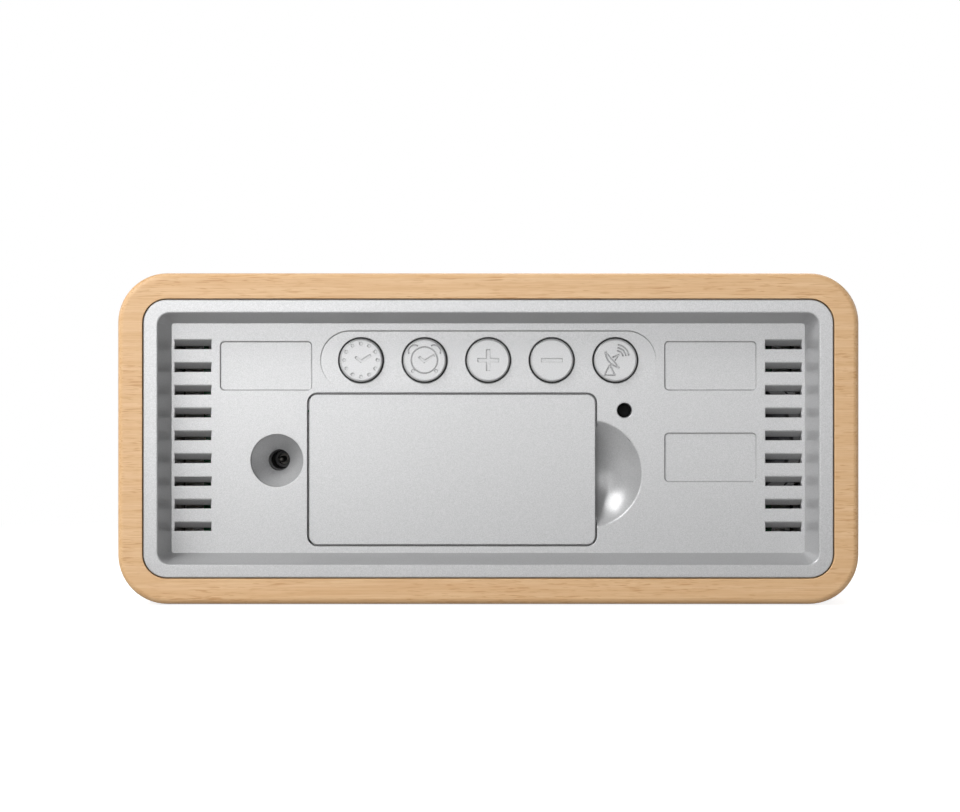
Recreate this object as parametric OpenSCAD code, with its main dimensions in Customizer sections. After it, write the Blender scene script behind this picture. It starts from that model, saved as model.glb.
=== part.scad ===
// Projection alarm clock: a wood sleeve closed by a silver display front and a silver rear cover.
// X runs across the clock, +Y points out of the back, -Y is the display side, and Z runs up.
// The origin lies under the middle of the clock, on the surface that it stands on.

/* [Wood sleeve] */
// Width of the sleeve
case_w = 150; // [149:0.5:160]
// Height of the sleeve
case_h = 67; // [67:0.5:74]
// Depth of the sleeve, front to back
case_d = 50; // [50:0.5:58]
// Outer corner radius of the sleeve
case_r = 10; // [9:0.5:12]
// Thickness of the wood that shows at each side
side_wall = 5.05; // [4.6:0.05:5.5]
// Thickness of the wood that shows above and below
top_wall = 5.2; // [4.8:0.05:5.4]
// Step inside each mouth that a silver ring seats on
shoulder = 1.6; // [1.4:0.1:1.8]

/* [Silver rings] */
// Gap between a silver ring and the wood round it
ring_gap = 0.2; // [0.1:0.05:0.3]
// How far a silver ring lies below the wood's end
ring_sink = 0.1; // [0.05:0.05:0.3]
// Thickness of a silver ring
ring_t = 2; // [1.6:0.1:2.4]
// Width of a silver ring's face at each side
band_x = 2.9; // [2.7:0.1:3.2]
// Width of a silver ring's face above and below
band_z = 2.7; // [2.5:0.1:2.8]
// Inner corner radius of a silver ring
rim_r = 2.4; // [1.5:0.1:3]
// Clearance between a collar and the sleeve's bore
collar_gap = 0.2; // [0.1:0.05:0.3]

/* [Rear cover] */
// Depth of the recess in the back
recess_depth = 7.5; // [6:0.1:8]
// How far the recess narrows to its floor on each side
recess_taper = 1.8; // [1:0.1:2]
// Corner radius of the recess's floor
floor_r = 0.5; // [0.3:0.1:1.2]
// Thickness of the recess's floor
panel_t = 2; // [1.8:0.1:2.4]
// Number of louvres on each side
louvre_count = 9; // [3:1:9]
// Length of a louvre
louvre_w = 7.4; // [5:0.1:8]
// Height of a louvre
louvre_h = 1.8; // [1.6:0.1:2.2]
// Distance between louvres
louvre_pitch = 4.68; // [4.2:0.02:4.9]
// How far a louvre slants down through the panel
louvre_drop = 1.25; // [0.6:0.05:1.5]
// Distance from the floor's side to a louvre
louvre_inset_x = 0.7; // [0.4:0.1:1.5]
// Distance from the floor's top to the first louvre's middle
louvre_inset_z = 4.3; // [3.5:0.1:4.8]
// Width of a label recess
label_w = 18.7; // [12:0.1:19]
// Height of a label recess
label_h = 9.9; // [6:0.1:10]
// Depth of a label recess
label_depth = 0.4; // [0.2:0.1:0.6]
// Corner radius of a label recess
label_r = 0.8; // [0.4:0.1:2]
// Distance from the floor's side to a label recess
label_inset_x = 10.05; // [9:0.05:11]
// Distance from the floor's top to an upper label recess
label_inset_z = 3.8; // [2:0.1:6]
// How far the lower label recess lies below the upper one
label_step = 18.8; // [12:0.1:24]

/* [Rear buttons] */
// Distance between buttons
key_pitch = 13.05; // [12.4:0.05:13.2]
// Distance from the floor's top to the row of buttons
key_inset_z = 7.6; // [7:0.1:7.8]
// Diameter of a button
key_d = 8.8; // [8:0.1:9]
// Gap round a button
key_gap = 0.3; // [0.15:0.05:0.3]
// How far a button stands above the panel
key_proud = 1; // [0.8:0.1:1.6]
// Travel of a button
key_travel = 0.6; // [0.3:0.1:0.7]
// Width of the shallow field round the buttons
island_w = 68.9; // [66:0.1:70]
// Height of the shallow field round the buttons
island_h = 12; // [11:0.1:12.4]
// Depth of the shallow field round the buttons
island_depth = 0.2; // [0.1:0.05:0.4]
// Depth of an engraved sign
sign_depth = 0.3; // [0.1:0.05:0.4]
// Diameter of the reset hole
reset_d = 3; // [2.6:0.1:3.4]
// How far the reset key lies below the panel
reset_sink = 3; // [2:0.1:3.4]

/* [Battery bay] */
// Thickness of the battery door
door_t = 1.6; // [1.4:0.1:1.7]
// Corner radius of the battery door
door_r = 1.75; // [1:0.05:2.5]
// Gap round the battery door
door_gap = 0.35; // [0.25:0.05:0.4]
// Distance from the floor's lower edge to the battery door
door_inset_z = 1.75; // [1.4:0.05:1.8]
// Distance from the battery door to the dish of the power inlet
door_dish_gap = 1.25; // [1:0.05:2]
// Diameter of a cell
cell_d = 14.2; // [13.8:0.1:14.2]
// Length of a cell with its nub
cell_l = 50.5; // [45:0.1:50.5]
// Gap between the cells and the bay's long walls
cell_side_gap = 0.4; // [0.3:0.05:0.5]
// Length of a contact spring when a cell presses it
spring_l = 3; // [2.8:0.1:3.4]
// Rim radius of the finger scoop
scoop_rim = 11.03; // [9:0.01:12]
// Depth of the finger scoop
scoop_depth = 5; // [4:0.1:5.5]

/* [Power inlet] */
// Distance from the floor's side to the inlet's middle
jack_inset_x = 21.65; // [19:0.05:21.8]
// How far the inlet's middle lies below the clock's middle
jack_drop = 4.6; // [2:0.1:6]
// Diameter of the inlet's dish
dish_d = 10.7; // [9:0.1:11]
// Depth of the inlet's dish
dish_depth = 5.5; // [4:0.1:6]
// Depth of the inlet's socket below the panel
jack_depth = 9; // [8:0.1:9.5]
// Diameter of the hole in the dish
dish_hole_d = 4.45; // [4:0.05:5]
// Bore of the socket
jack_bore_d = 3.8; // [3.6:0.1:4]
// Diameter of the socket's pin
jack_pin_d = 1.3; // [1:0.05:1.65]

/* [Display] */
// Thickness of the window
window_t = 1.8; // [1.4:0.1:1.9]
// Gap round the window
window_gap = 0.1; // [0.05:0.05:0.2]
// Distance from the window's side to the display glass
lcd_inset_x = 7.85; // [7.85:0.05:16]
// Distance from the window's top to the display glass
lcd_inset_z = 3.4; // [3.4:0.1:4.4]
// Thickness of the display glass
lcd_t = 2; // [1.6:0.1:2.4]
// Width of the display glass's border round its picture
lcd_border = 4; // [3.6:0.1:7]
// Thickness of the light guide
guide_t = 3; // [2:0.1:4]

/* [Snooze key] */
// Length of the snooze key
snooze_w = 62.6; // [50:0.2:64]
// Width of the snooze key
snooze_d = 11.6; // [10:0.1:12]
// How far the middle of the snooze key lies from the clock's middle
snooze_x = -14; // [-18:0.5:-12]
// How far the snooze key stands above the wood
snooze_proud = 0.5; // [0.3:0.1:0.9]
// Travel of the snooze key
snooze_travel = 0.6; // [0.3:0.1:0.7]

/* [Projector] */
// Diameter of the projector's drum
drum_d = 20; // [19:0.2:20]
// Length of the projector's drum
drum_l = 21.6; // [20:0.2:21.8]
// How far the drum stands above the wood
drum_proud = 1; // [0.6:0.1:1.4]
// Distance from the sleeve's side to the projector's middle
drum_inset_x = 27.5; // [27:0.1:28]
// Diameter of the projection lens
lens_d = 8; // [6:0.1:8.4]
// Diameter of the focus ring
focus_d = 12; // [11:0.1:12.4]
// Radial clearance of the drum's trunnions
pivot_gap = 0.05; // [0.02:0.01:0.08]

/* [Feet] */
// Diameter of a foot
foot_d = 9; // [6:0.5:10]
// How far a foot stands out below the wood
foot_proud = 0.3; // [0.2:0.05:0.5]

/* [Hidden] */
$fn = 64;

// Shared small sizes
over = 1;
hull_skin = 0.02;
slack = 0.1;
snug = 0.05;
pcb_t = 1.6;
screw_head_h = 1.2;
screw_head_r = 1.9;
screw_r = 0.95;
screw_hole_r = 1.2;
slot_depth_share = 0.5;
drive_w_share = 0.3;

// Wood sleeve
mouth_w = case_w - 2 * side_wall;
mouth_h = case_h - 2 * top_wall;
mouth_r = case_r - side_wall;
mouth_depth = ring_t + ring_sink;
bore_w = mouth_w - 2 * shoulder;
bore_h = mouth_h - 2 * shoulder;
bore_r = mouth_r - shoulder;
case_z = foot_proud + case_h / 2;
case_top = foot_proud + case_h;
bore_top = case_z + bore_h / 2;
foot_sunk = 0.7;
foot_inset_x = 15;
foot_inset_y = 9.5;

// Rings and collars
ring_w = mouth_w - 2 * ring_gap;
ring_h = mouth_h - 2 * ring_gap;
ring_r = mouth_r - ring_gap;
collar_w = bore_w - 2 * collar_gap;
collar_h = bore_h - 2 * collar_gap;
collar_r = bore_r - collar_gap;
rim_w = ring_w - 2 * band_x;
rim_h = ring_h - 2 * band_z;

// Rear cover
rear_y = case_d / 2 - ring_sink;
seat_y = rear_y - ring_t;
panel_y = rear_y - recess_depth;
panel_in_y = panel_y - panel_t;
floor_w = rim_w - 2 * recess_taper;
floor_h = rim_h - 2 * recess_taper;
louvre_x = floor_w / 2 - louvre_inset_x - louvre_w / 2;
louvre_top_z = case_z + floor_h / 2 - louvre_inset_z;
label_x = floor_w / 2 - label_inset_x - label_w / 2;
label_z = case_z + floor_h / 2 - label_inset_z - label_h / 2;

// Battery bay, which ends beside the power inlet
jack_x = floor_w / 2 - jack_inset_x;
bay_wall = 1.5;
bay_ledge_z = 1;
bay_ledge_hinge = 1.85;
bay_ledge_latch = 3.35;
cell_gap_z = 0.3;
cell_lift = 0.2;
cell_top_gap = 0.4;
contact_t = 0.4;
bay_w = cell_l + spring_l + 2 * contact_t;
bay_h = 2 * cell_d + cell_gap_z + 2 * cell_side_gap;
open_w = bay_w + bay_ledge_latch + bay_ledge_hinge;
open_h = bay_h + 2 * bay_ledge_z;
door_w = open_w - 2 * door_gap;
door_h = open_h - 2 * door_gap;
door_x = jack_x - dish_d / 2 - door_dish_gap - door_w / 2;
door_z = case_z - floor_h / 2 + door_inset_z + door_h / 2;
door_in_y = panel_y - door_t;
bay_x0 = door_x - open_w / 2 + bay_ledge_latch;
bay_x1 = door_x + open_w / 2 - bay_ledge_hinge;
bay_depth = cell_lift + cell_d + cell_top_gap;
bay_floor_y = door_in_y - bay_depth;
bay_out_y = bay_floor_y - bay_wall;
cell_dz = (cell_d + cell_gap_z) / 2;
cell_y = bay_floor_y + cell_lift + cell_d / 2;
cell_nub_d = 5.5;
cell_nub_l = 1;
contact_w = 10;
contact_h = 11;
contact_tab_w = 3;
contact_tab_l = 2.8;
contact_slot_gap = 0.1;
spring_gap = 0.05;
spring_turns = 3;
spring_rings = 24;
spring_sides = 6;
spring_wire = 0.5;
spring_big_r = 4.6;
spring_small_r = 2.4;
scoop_wall = 1.2;
scoop_r = (scoop_rim * scoop_rim + scoop_depth * scoop_depth) / (2 * scoop_depth);
scoop_in = 1.5;
scoop_low = 0.9;
scoop_under = 1.4;
scoop_x = door_x - door_w / 2 + scoop_in;
scoop_z = door_z - scoop_low;
tongue_inset = 1.35;
tongue_dz = bay_h / 2 - tongue_inset;
tongue_w = 2.4;
tongue_t = 1.4;
tongue_reach = 1.8;
tongue_neck = 0.9;
tongue_side_gap = 0.4;
tongue_top_gap = 0.2;
tongue_sweep = 0.5;
latch_w = 3.6;
latch_t = 1;
latch_l = 2.8;
latch_gap = 0.6;
case_screw_inset_x = 9.3;
case_screw_r = 1.25;
case_screw_head_r = 2.4;
case_screw_hole_r = 1.6;
case_screw_l = 13;
case_boss_r = 3;

// Buttons and their board
key_z = case_z + floor_h / 2 - key_inset_z;
key_hole_r = key_d / 2 + key_gap;
key_flange_w = 1;
key_flange_r = key_d / 2 + key_flange_w;
key_flange_t = 0.8;
key_stem_r = 1.6;
key_stem_gap = 0.3;
key_board_depth = 7.3;
key_board_y = panel_in_y - key_board_depth;
switch_w = 6;
island_fade = 1;
switch_h = 3.5;
switch_in = 0.6;
switch_rest = 1.1;
switch_floor = switch_h - switch_in - key_travel - switch_rest;
key_stem_y = key_board_y + switch_h - switch_in;
reset_inset_x = 6;
reset_x = door_x - door_w / 2 - reset_inset_x;
reset_rise = 5.7;
reset_z = case_z + reset_rise;
reset_key_gap = 0.2;
reset_key_r = reset_d / 2 - reset_key_gap;
reset_travel = 0.5;
reset_wall = 1.5;
reset_guide_l = 2.8;
key_post_r = 2.2;
key_post_x = 3 * key_pitch / 2;
key_post_rise = 4.7;
key_post_z = key_z + key_post_rise;
reset_post_side = 3.5;
reset_post_x = reset_x - reset_post_side;
reset_post_drop = 0.2;
reset_post_z = case_z - reset_post_drop;
key_board_edge = 3;
key_board_side = 5.9;
key_board_x0 = reset_post_x - key_board_edge;
key_board_x1 = 2 * key_pitch + key_board_side;
key_board_drop = 5.6;
key_board_rise = 7;
key_board_z0 = key_z - key_board_drop;
key_board_z1 = key_z + key_board_rise;
key_tab_side = 5;
key_tab_x1 = reset_x + key_tab_side;
key_tab_edge = 2.8;
key_tab_z0 = reset_post_z - key_tab_edge;

// Power inlet
jack_z = case_z - jack_drop;
dish_wall = 1.3;
dish_straight = 1.2;
jack_y = panel_y - jack_depth;
jack_bore_l = 8;
jack_floor = 1.4;
jack_w = 9;
jack_h = 10;
jack_pin_sink = 0.8;
jack_pin_foot_r = 1.1;
jack_board_w = 11;
jack_board_h = 25;
jack_post_dz = 9.6;
jack_post_r = 2.2;
jack_back_y = jack_y - jack_bore_l - jack_floor;

// Speaker
speaker_inset_x = 13.55;
speaker_x = speaker_inset_x - floor_w / 2;
speaker_r = 13.5;
speaker_rim = 2;
speaker_rim_t = 1.2;
speaker_gap = 0.3;
speaker_neck_r = 9;
speaker_depth = 6;
speaker_skin = 0.8;
speaker_ring_wall = 1.2;
speaker_ring_l = 4;
magnet_r = 8;
magnet_t = 4.5;

// Front, from its face inwards
front_y = -rear_y;
ledge_y = front_y + ring_t;
ledge_t = 1.2;
ledge_w = 1.6;
chassis_y = ledge_y + ledge_t;
lcd_w = rim_w - 2 * lcd_inset_x;
lcd_h = rim_h - 2 * lcd_inset_z;
lcd_view_w = lcd_w - 2 * lcd_border;
lcd_view_h = lcd_h - 2 * lcd_border;
front_collar_l = 9.7;
front_collar_y = chassis_y + front_collar_l;
front_wall = 1.5;
chassis_gap = 0.2;
lcd_y = chassis_y + lcd_t;
guide_y = lcd_y + guide_t;
guide_h = lcd_view_h;
chassis_wall = 1.5;
chassis_back_y = guide_y + chassis_wall;
standoff_l = 1.4;
standoff_r = 2.4;
board_y = chassis_back_y + standoff_l;
board_back_y = board_y + pcb_t;
lcd_gap = 0.2;
strip_inset_x = 9;
strip_edge = 1.8;
strip_l = lcd_w - 2 * strip_inset_x;
strip_t = 2.2;
strip_z = lcd_h / 2 - strip_edge;
strip_gap = 0.2;
gasket_band = 3;
corner_inset_x = 4.85;
corner_inset_z = 6.3;
corner_x = collar_w / 2 - corner_inset_x;
corner_z = collar_h / 2 - corner_inset_z;
corner_boss_r = 2.4;
corner_notch = 3.2;
corner_screw_l = 4;
board_inset_x = 6.15;
board_inset_z = 4.5;
board_w = collar_w - 2 * board_inset_x;
board_h = collar_h - 2 * board_inset_z;
board_screw_inset_x = 5;
board_screw_inset_z = 9;
board_screw_x = board_w / 2 - board_screw_inset_x;
board_screw_z = board_h / 2 - board_screw_inset_z;
board_screw_l = 2.6;

// Parts on the main board, each set in from the board's edges
board_z0 = case_z - board_h / 2;
board_z1 = case_z + board_h / 2;
rod_r = 4;
rod_l = 48;
antenna_inset_x = 32;
antenna_inset_z = 4;
antenna_rise = 5.8;
antenna_x = antenna_inset_x - board_w / 2;
antenna_z = board_z0 + antenna_inset_z;
antenna_y = board_back_y + antenna_rise;
coil_r = 5.2;
coil_l = 14;
clip_t = 3;
clip_dx = 17;
clip_half = 5.2;
clip_top = 7.4;
chip_r = 7;
chip_h = 1.8;
chip_x = 8;
chip_rise = 6;
cap_r = 3.15;
cap_h = 7;
cap_inset_x = 22;
cap_inset_z = 7;
cap_step = 8;
cap_x = board_w / 2 - cap_inset_x;
cap_z = board_z0 + cap_inset_z;
crystal_size = [8, 4, 3];
crystal_x = 20;
crystal_inset_z = 8;
crystal_z = board_z1 - crystal_inset_z;
module_size = [22, 3, 12];
module_inset_x = 20;
module_inset_z = 13;
module_x = module_inset_x - board_w / 2;
module_z = board_z1 - module_inset_z;
socket_h = 3.4;
socket_w = 4.2;
socket_edge = 1;

// Snooze key and its carrier
top_reach = 13.4;
top_y = panel_in_y - top_reach;
snooze_gap = 0.4;
snooze_rim = 2.3;
snooze_lip = 1;
snooze_lip_t = 1;
snooze_body_h = 3.5;
snooze_lip_gap = 0.1;
snooze_slot_gap = 0.15;
carrier_t = 1.5;
carrier_edge_x = 4;
carrier_edge_y = 3.7;
snooze_in_w = snooze_w + 2 * snooze_gap;
snooze_in_d = snooze_d + 2 * snooze_gap;
snooze_out_w = snooze_in_w + 2 * snooze_rim;
snooze_out_d = snooze_in_d + 2 * snooze_rim;
snooze_low_w = snooze_in_w + 2 * snooze_lip;
snooze_low_d = snooze_in_d + 2 * snooze_lip;
snooze_top = case_top + snooze_proud;
snooze_step_z = snooze_top - snooze_body_h - snooze_proud;
snooze_lip_z = snooze_step_z - snooze_lip_gap;
carrier_z = bore_top - carrier_t;
snooze_board_w = 40;
snooze_board_d = 21;
snooze_switch_dx = 14;
snooze_switch_h = 2.2;
snooze_stem_in = 0.6;
snooze_screw_dx = 16;
snooze_screw_dy = 8.6;
top_screw_r = 1;
top_screw_l = 4.5;
top_screw_gap = 0.05;

// Projector
drum_r = drum_d / 2;
drum_x = case_w / 2 - drum_inset_x;
drum_z = case_top + drum_proud - drum_r;
cradle_gap = 0.3;
cradle_wall = 1.5;
cradle_in_x = drum_l / 2 + cradle_gap;
cradle_gap_y = 0.6;
cradle_in_y = drum_r + cradle_gap_y;
cradle_out_x = cradle_in_x + cradle_wall;
cradle_out_y = cradle_in_y + cradle_wall;
cradle_r = 2;
cradle_screw_share = 0.75;
cradle_edge_x = 4.9;
cradle_edge_y = 0.9;
cradle_slot_gap = 0.15;
cheek_r = 4.6;
pivot_r = 2.5;
focus_well_gap = 0.3;
focus_well_z = 6;
focus_h = 1.9;
focus_lift = 0.1;
focus_notches = 24;
focus_notch_r = 0.3;
lens_gap = 0.1;
lens_t = 1.5;
lens_ball_share = 0.9;
optic_r = 4.6;
slide_z = 1.5;
slide_t = 1;
condenser_z = -2.5;
condenser_t = 2.4;
led_z = -8.2;
led_board_t = 1;
led_r = 2.5;
led_h = 2.2;
groove_r = 0.4;
groove_step_angle = 11;
groove_first_angle = 42;
groove_count = 5;

// Cables
ribbon_w = 12;
ribbon_t = 0.8;
ribbon_drop = 1.5;
ribbon_z = key_z - ribbon_drop;
lead_r = 0.6;
lead_rings = 14;
lead_sides = 8;
lead_ease = 5;
lead_step = 2.4;
lead_end_share = 0.02;

// Signs on the buttons, as shares of the button's diameter
dot_r_share = 0.041;
dot_ring_share = 0.39;
hand_w_share = 0.057;
hand_long_share = 0.272;
hand_short_share = 0.164;
line_w_share = 0.03;
bell_ring_share = 0.306;
bell_r_share = 0.147;
bell_place_shares = [0.227, 0.204];
foot_place_shares = [0.269, -0.25];
mark_l_share = 0.496;
mark_w_share = 0.09;
aerial_r_share = 0.388;
aerial_place_shares = [-0.152, 0.207];
chord_place_shares = [0.235, 0.193];
chord_l_share = 0.492;
horn_place_shares = [-0.083, 0.127];
horn_l_share = 0.165;
wave_place_shares = [-0.028, 0.07];
wave_r_share = 0.08;
wave_step_share = 0.068;
mast_place_shares = [0.132, -0.109];
mast_l_share = 0.275;

// Extrudes an outline drawn in X and Z from y0 to y1
module plate_y(y0, y1) {
    translate([0, y1, 0]) rotate([90, 0, 0]) linear_extrude(height = y1 - y0) children();
}

// Extrudes an outline drawn in X and Y from z0 to z1
module plate_z(z0, z1) {
    translate([0, 0, z0]) linear_extrude(height = z1 - z0) children();
}

// Rectangle with round corners, centred on x and z
module outline(w, h, r, x = 0, z = 0) {
    translate([x, z]) {
        square([w - 2 * r, h], center = true);
        square([w, h - 2 * r], center = true);
        for (sx = [-1, 1], sz = [-1, 1]) {
            translate([sx * (w / 2 - r), sz * (h / 2 - r)]) circle(r = r);
        }
    }
}

// Rectangle with half-round ends, centred on x and z
module stadium(w, h, x = 0, z = 0) {
    translate([x, z]) {
        square([w - h, h], center = true);
        for (s = [-1, 1]) {
            translate([s * (w - h) / 2, 0]) circle(r = h / 2);
        }
    }
}

// Box between two corners
module block(low, high) {
    translate(low) cube(high - low);
}

module rod_x(r, x0, x1, y, z) {
    translate([x0, y, z]) rotate([0, 90, 0]) cylinder(r = r, h = x1 - x0);
}

module rod_y(r, y0, y1, x, z) {
    translate([x, y1, z]) rotate([90, 0, 0]) cylinder(r = r, h = y1 - y0);
}

module rod_z(r, z0, z1, x, y) {
    translate([x, y, z0]) cylinder(r = r, h = z1 - z0);
}

// Cone along Y with radius r0 at y0 and r1 at y1
module cone_y(r0, r1, y0, y1, x, z) {
    translate([x, y1, z]) rotate([90, 0, 0]) cylinder(r1 = r1, r2 = r0, h = y1 - y0);
}

// Screw along Y, its head's outer face at y, driven towards -Y
module screw_in(r, head_r, head_h, l, x, y, z) {
    difference() {
        union() {
            rod_y(head_r, y - head_h, y, x, z);
            rod_y(r, y - head_h - l, y - head_h + slack, x, z);
        }
        cross_drive(head_r, head_h, x, y, z);
    }
}

// Screw along Y, its head's outer face at y, driven towards +Y
module screw_out(r, head_r, head_h, l, x, y, z) {
    translate([x, y, z]) mirror([0, 1, 0]) screw_in(r, head_r, head_h, l, 0, 0, 0);
}

module cross_drive(head_r, head_h, x, y, z) {
    deep = head_h * slot_depth_share;
    half = head_r * (1 - drive_w_share);
    thin = head_r * drive_w_share / 2;
    block([x - half, y - deep, z - thin], [x + half, y + over, z + thin]);
    block([x - thin, y - deep, z - half], [x + thin, y + over, z + half]);
}

// Screw along Z, its head's lower face at z, driven upwards
module screw_up(r, head_r, head_h, l, x, y, z) {
    translate([x, y, z]) rotate([-90, 0, 0]) screw_in(r, head_r, head_h, l, 0, 0, 0);
}

// Places of repeated features
function key_x(i) = (2 - i) * key_pitch;
function louvre_z(i) = louvre_top_z - i * louvre_pitch;
function foot_places() = [for (sx = [-1, 1], sy = [-1, 1])
    [sx * (case_w / 2 - foot_inset_x), sy * (case_d / 2 - foot_inset_y)]];
function corner_places() = [for (sx = [-1, 1], sz = [-1, 1]) [sx * corner_x, case_z + sz * corner_z]];
function board_screw_places() = [for (sx = [-1, 1], sz = [-1, 1])
    [sx * board_screw_x, case_z + sz * board_screw_z]];
function key_post_places() = [[key_post_x, key_post_z], [-key_post_x, key_post_z],
    [reset_post_x, reset_post_z]];
function jack_post_places() = [for (s = [-1, 1]) [jack_x, jack_z + s * jack_post_dz]];
function case_screw_places() = [[bay_x0 + case_screw_inset_x, door_z],
    [bay_x1 - case_screw_inset_x, door_z]];
function carrier_screw_places() = [for (sx = [-1, 1], sy = [-1, 1])
    [snooze_x + sx * (snooze_out_w / 2 + carrier_edge_x / 2),
        top_y + sy * snooze_out_d / 4]];
function cradle_screw_places() = [for (sx = [-1, 1], sy = [-1, 1])
    [drum_x + sx * (cradle_out_x + cradle_edge_x / 2 + slack),
        top_y + sy * cradle_out_y * cradle_screw_share]];
function top_screw_places() = concat(carrier_screw_places(), cradle_screw_places());
function snooze_screw_places() = [for (sx = [-1, 1], sy = [-1, 1])
    [snooze_x + sx * snooze_screw_dx, top_y + sy * snooze_screw_dy]];

module wood_case() {
    color("burlywood") difference() {
        plate_y(-case_d / 2, case_d / 2) outline(case_w, case_h, case_r, 0, case_z);
        plate_y(-case_d / 2 - over, case_d / 2 + over) outline(bore_w, bore_h, bore_r, 0, case_z);
        plate_y(case_d / 2 - mouth_depth, case_d / 2 + over)
            outline(mouth_w, mouth_h, mouth_r, 0, case_z);
        plate_y(-case_d / 2 - over, mouth_depth - case_d / 2)
            outline(mouth_w, mouth_h, mouth_r, 0, case_z);
        plate_z(case_z, case_top + over) stadium(snooze_out_w + 2 * snooze_slot_gap,
            snooze_out_d + 2 * snooze_slot_gap, snooze_x, top_y);
        plate_z(case_z, case_top + over)
            outline(2 * (cradle_out_x + cradle_slot_gap), 2 * (cradle_out_y + cradle_slot_gap),
                cradle_r + cradle_slot_gap, drum_x, top_y);
        for (p = foot_places()) {
            rod_z(foot_d / 2 + slack, foot_proud - over, foot_proud + foot_sunk, p[0], p[1]);
        }
        for (p = top_screw_places()) {
            rod_z(top_screw_r + top_screw_gap, case_z, bore_top + top_screw_l, p[0], p[1]);
        }
    }
}

module foot_pads() {
    color("gainsboro") for (p = foot_places()) {
        rod_z(foot_d / 2, 0, foot_proud + foot_sunk, p[0], p[1]);
    }
}

module front_bezel() {
    color("silver") {
        difference() {
            union() {
                plate_y(front_y, ledge_y) outline(ring_w, ring_h, ring_r, 0, case_z);
                plate_y(ledge_y - slack, front_collar_y) outline(collar_w, collar_h, collar_r, 0, case_z);
            }
            plate_y(front_y - over, ledge_y) outline(rim_w, rim_h, rim_r, 0, case_z);
            plate_y(front_y, front_collar_y + over)
                outline(rim_w - 2 * ledge_w, rim_h - 2 * ledge_w, rim_r, 0, case_z);
            plate_y(chassis_y, front_collar_y + over)
                outline(collar_w - 2 * front_wall, collar_h - 2 * front_wall, collar_r / 2, 0, case_z);
        }
        for (p = corner_places()) {
            difference() {
                union() {
                    rod_y(corner_boss_r, chassis_y, guide_y, p[0], p[1]);
                    corner_web(p[0], p[1]);
                }
                rod_y(screw_r + snug, guide_y - corner_screw_l, guide_y + over, p[0], p[1]);
            }
        }
    }
}

// Foot of a corner boss, which joins it to the ledge
module corner_web(x, z) {
    foot = corner_boss_r * (sqrt(2) - 1) + ledge_w;
    sx = sign(x);
    sz = sign(z - case_z);
    y0 = chassis_y - ledge_t;
    low_x = sx > 0 ? x : x - foot - ledge_w;
    low_z = sz > 0 ? z : z - foot - ledge_w;
    block([low_x, y0 + slack, low_z], [low_x + foot + ledge_w, chassis_y + slack, low_z + foot + ledge_w]);
}

module display_window() {
    color([0.1, 0.1, 0.12, 0.8]) plate_y(ledge_y - window_t, ledge_y)
        outline(rim_w - 2 * window_gap, rim_h - 2 * window_gap, rim_r - window_gap, 0, case_z);
}

module display_gasket() {
    color("dimgray") plate_y(ledge_y, chassis_y) difference() {
        outline(lcd_view_w + 2 * gasket_band, lcd_view_h + 2 * gasket_band, rim_r, 0, case_z);
        translate([-lcd_view_w / 2, case_z - lcd_view_h / 2]) square([lcd_view_w, lcd_view_h]);
    }
}

module lcd_glass() {
    color("darkslategray") block([-lcd_w / 2, chassis_y, case_z - lcd_h / 2],
        [lcd_w / 2, lcd_y, case_z + lcd_h / 2]);
}

module light_guide() {
    color("whitesmoke") block([-lcd_w / 2, lcd_y, case_z - guide_h / 2],
        [lcd_w / 2, guide_y, case_z + guide_h / 2]);
}

module contact_strips() {
    color("slategray") for (s = [-1, 1]) {
        mid = case_z + s * strip_z;
        block([-strip_l / 2, lcd_y, mid - strip_t / 2], [strip_l / 2, board_y, mid + strip_t / 2]);
    }
}

module display_chassis() {
    out_w = collar_w - 2 * front_wall - 2 * chassis_gap;
    out_h = collar_h - 2 * front_wall - 2 * chassis_gap;
    pocket_w = lcd_w + 2 * lcd_gap;
    pocket_h = lcd_h + 2 * lcd_gap;
    color("white") difference() {
        union() {
            plate_y(chassis_y, chassis_back_y)
                outline(out_w, out_h, collar_r / 2, 0, case_z);
            for (p = board_screw_places()) {
                rod_y(standoff_r, chassis_back_y - slack, board_y, p[0], p[1]);
            }
            for (p = case_screw_places()) {
                rod_y(case_boss_r, chassis_back_y - slack, bay_out_y - slack, p[0], p[1]);
            }
        }
        block([-pocket_w / 2, chassis_y - over, case_z - pocket_h / 2],
            [pocket_w / 2, guide_y, case_z + pocket_h / 2]);
        for (p = corner_places()) {
            chassis_notch(p[0], p[1], out_w / 2, out_h / 2);
            rod_y(screw_hole_r, guide_y - over, chassis_back_y + over, p[0], p[1]);
        }
        for (s = [-1, 1]) {
            mid = case_z + s * strip_z;
            block([-strip_l / 2 - strip_gap, guide_y - over, mid - strip_t / 2 - strip_gap],
                [strip_l / 2 + strip_gap, board_y, mid + strip_t / 2 + strip_gap]);
        }
        for (p = board_screw_places()) {
            rod_y(screw_r + snug, board_y - board_screw_l, board_y + over, p[0], p[1]);
        }
        for (p = case_screw_places()) {
            rod_y(case_screw_r + snug, bay_floor_y - case_screw_l - slack, bay_out_y, p[0], p[1]);
        }
    }
}

// Room for a corner boss, open towards the chassis's corner
module chassis_notch(x, z, half_w, half_h) {
    sx = sign(x);
    sz = sign(z - case_z);
    x0 = sx > 0 ? x - corner_notch : -half_w - over;
    z0 = sz > 0 ? z - corner_notch : case_z - half_h - over;
    size_x = half_w + over - abs(x) + corner_notch;
    size_z = half_h + over - abs(z - case_z) + corner_notch;
    block([x0, chassis_y - over, z0], [x0 + size_x, guide_y, z0 + size_z]);
}

module chassis_screws() {
    color("gray") for (p = corner_places()) {
        screw_in(screw_r, screw_head_r, screw_head_h, corner_screw_l + chassis_wall - slack,
            p[0], chassis_back_y + screw_head_h, p[1]);
    }
}

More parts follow.
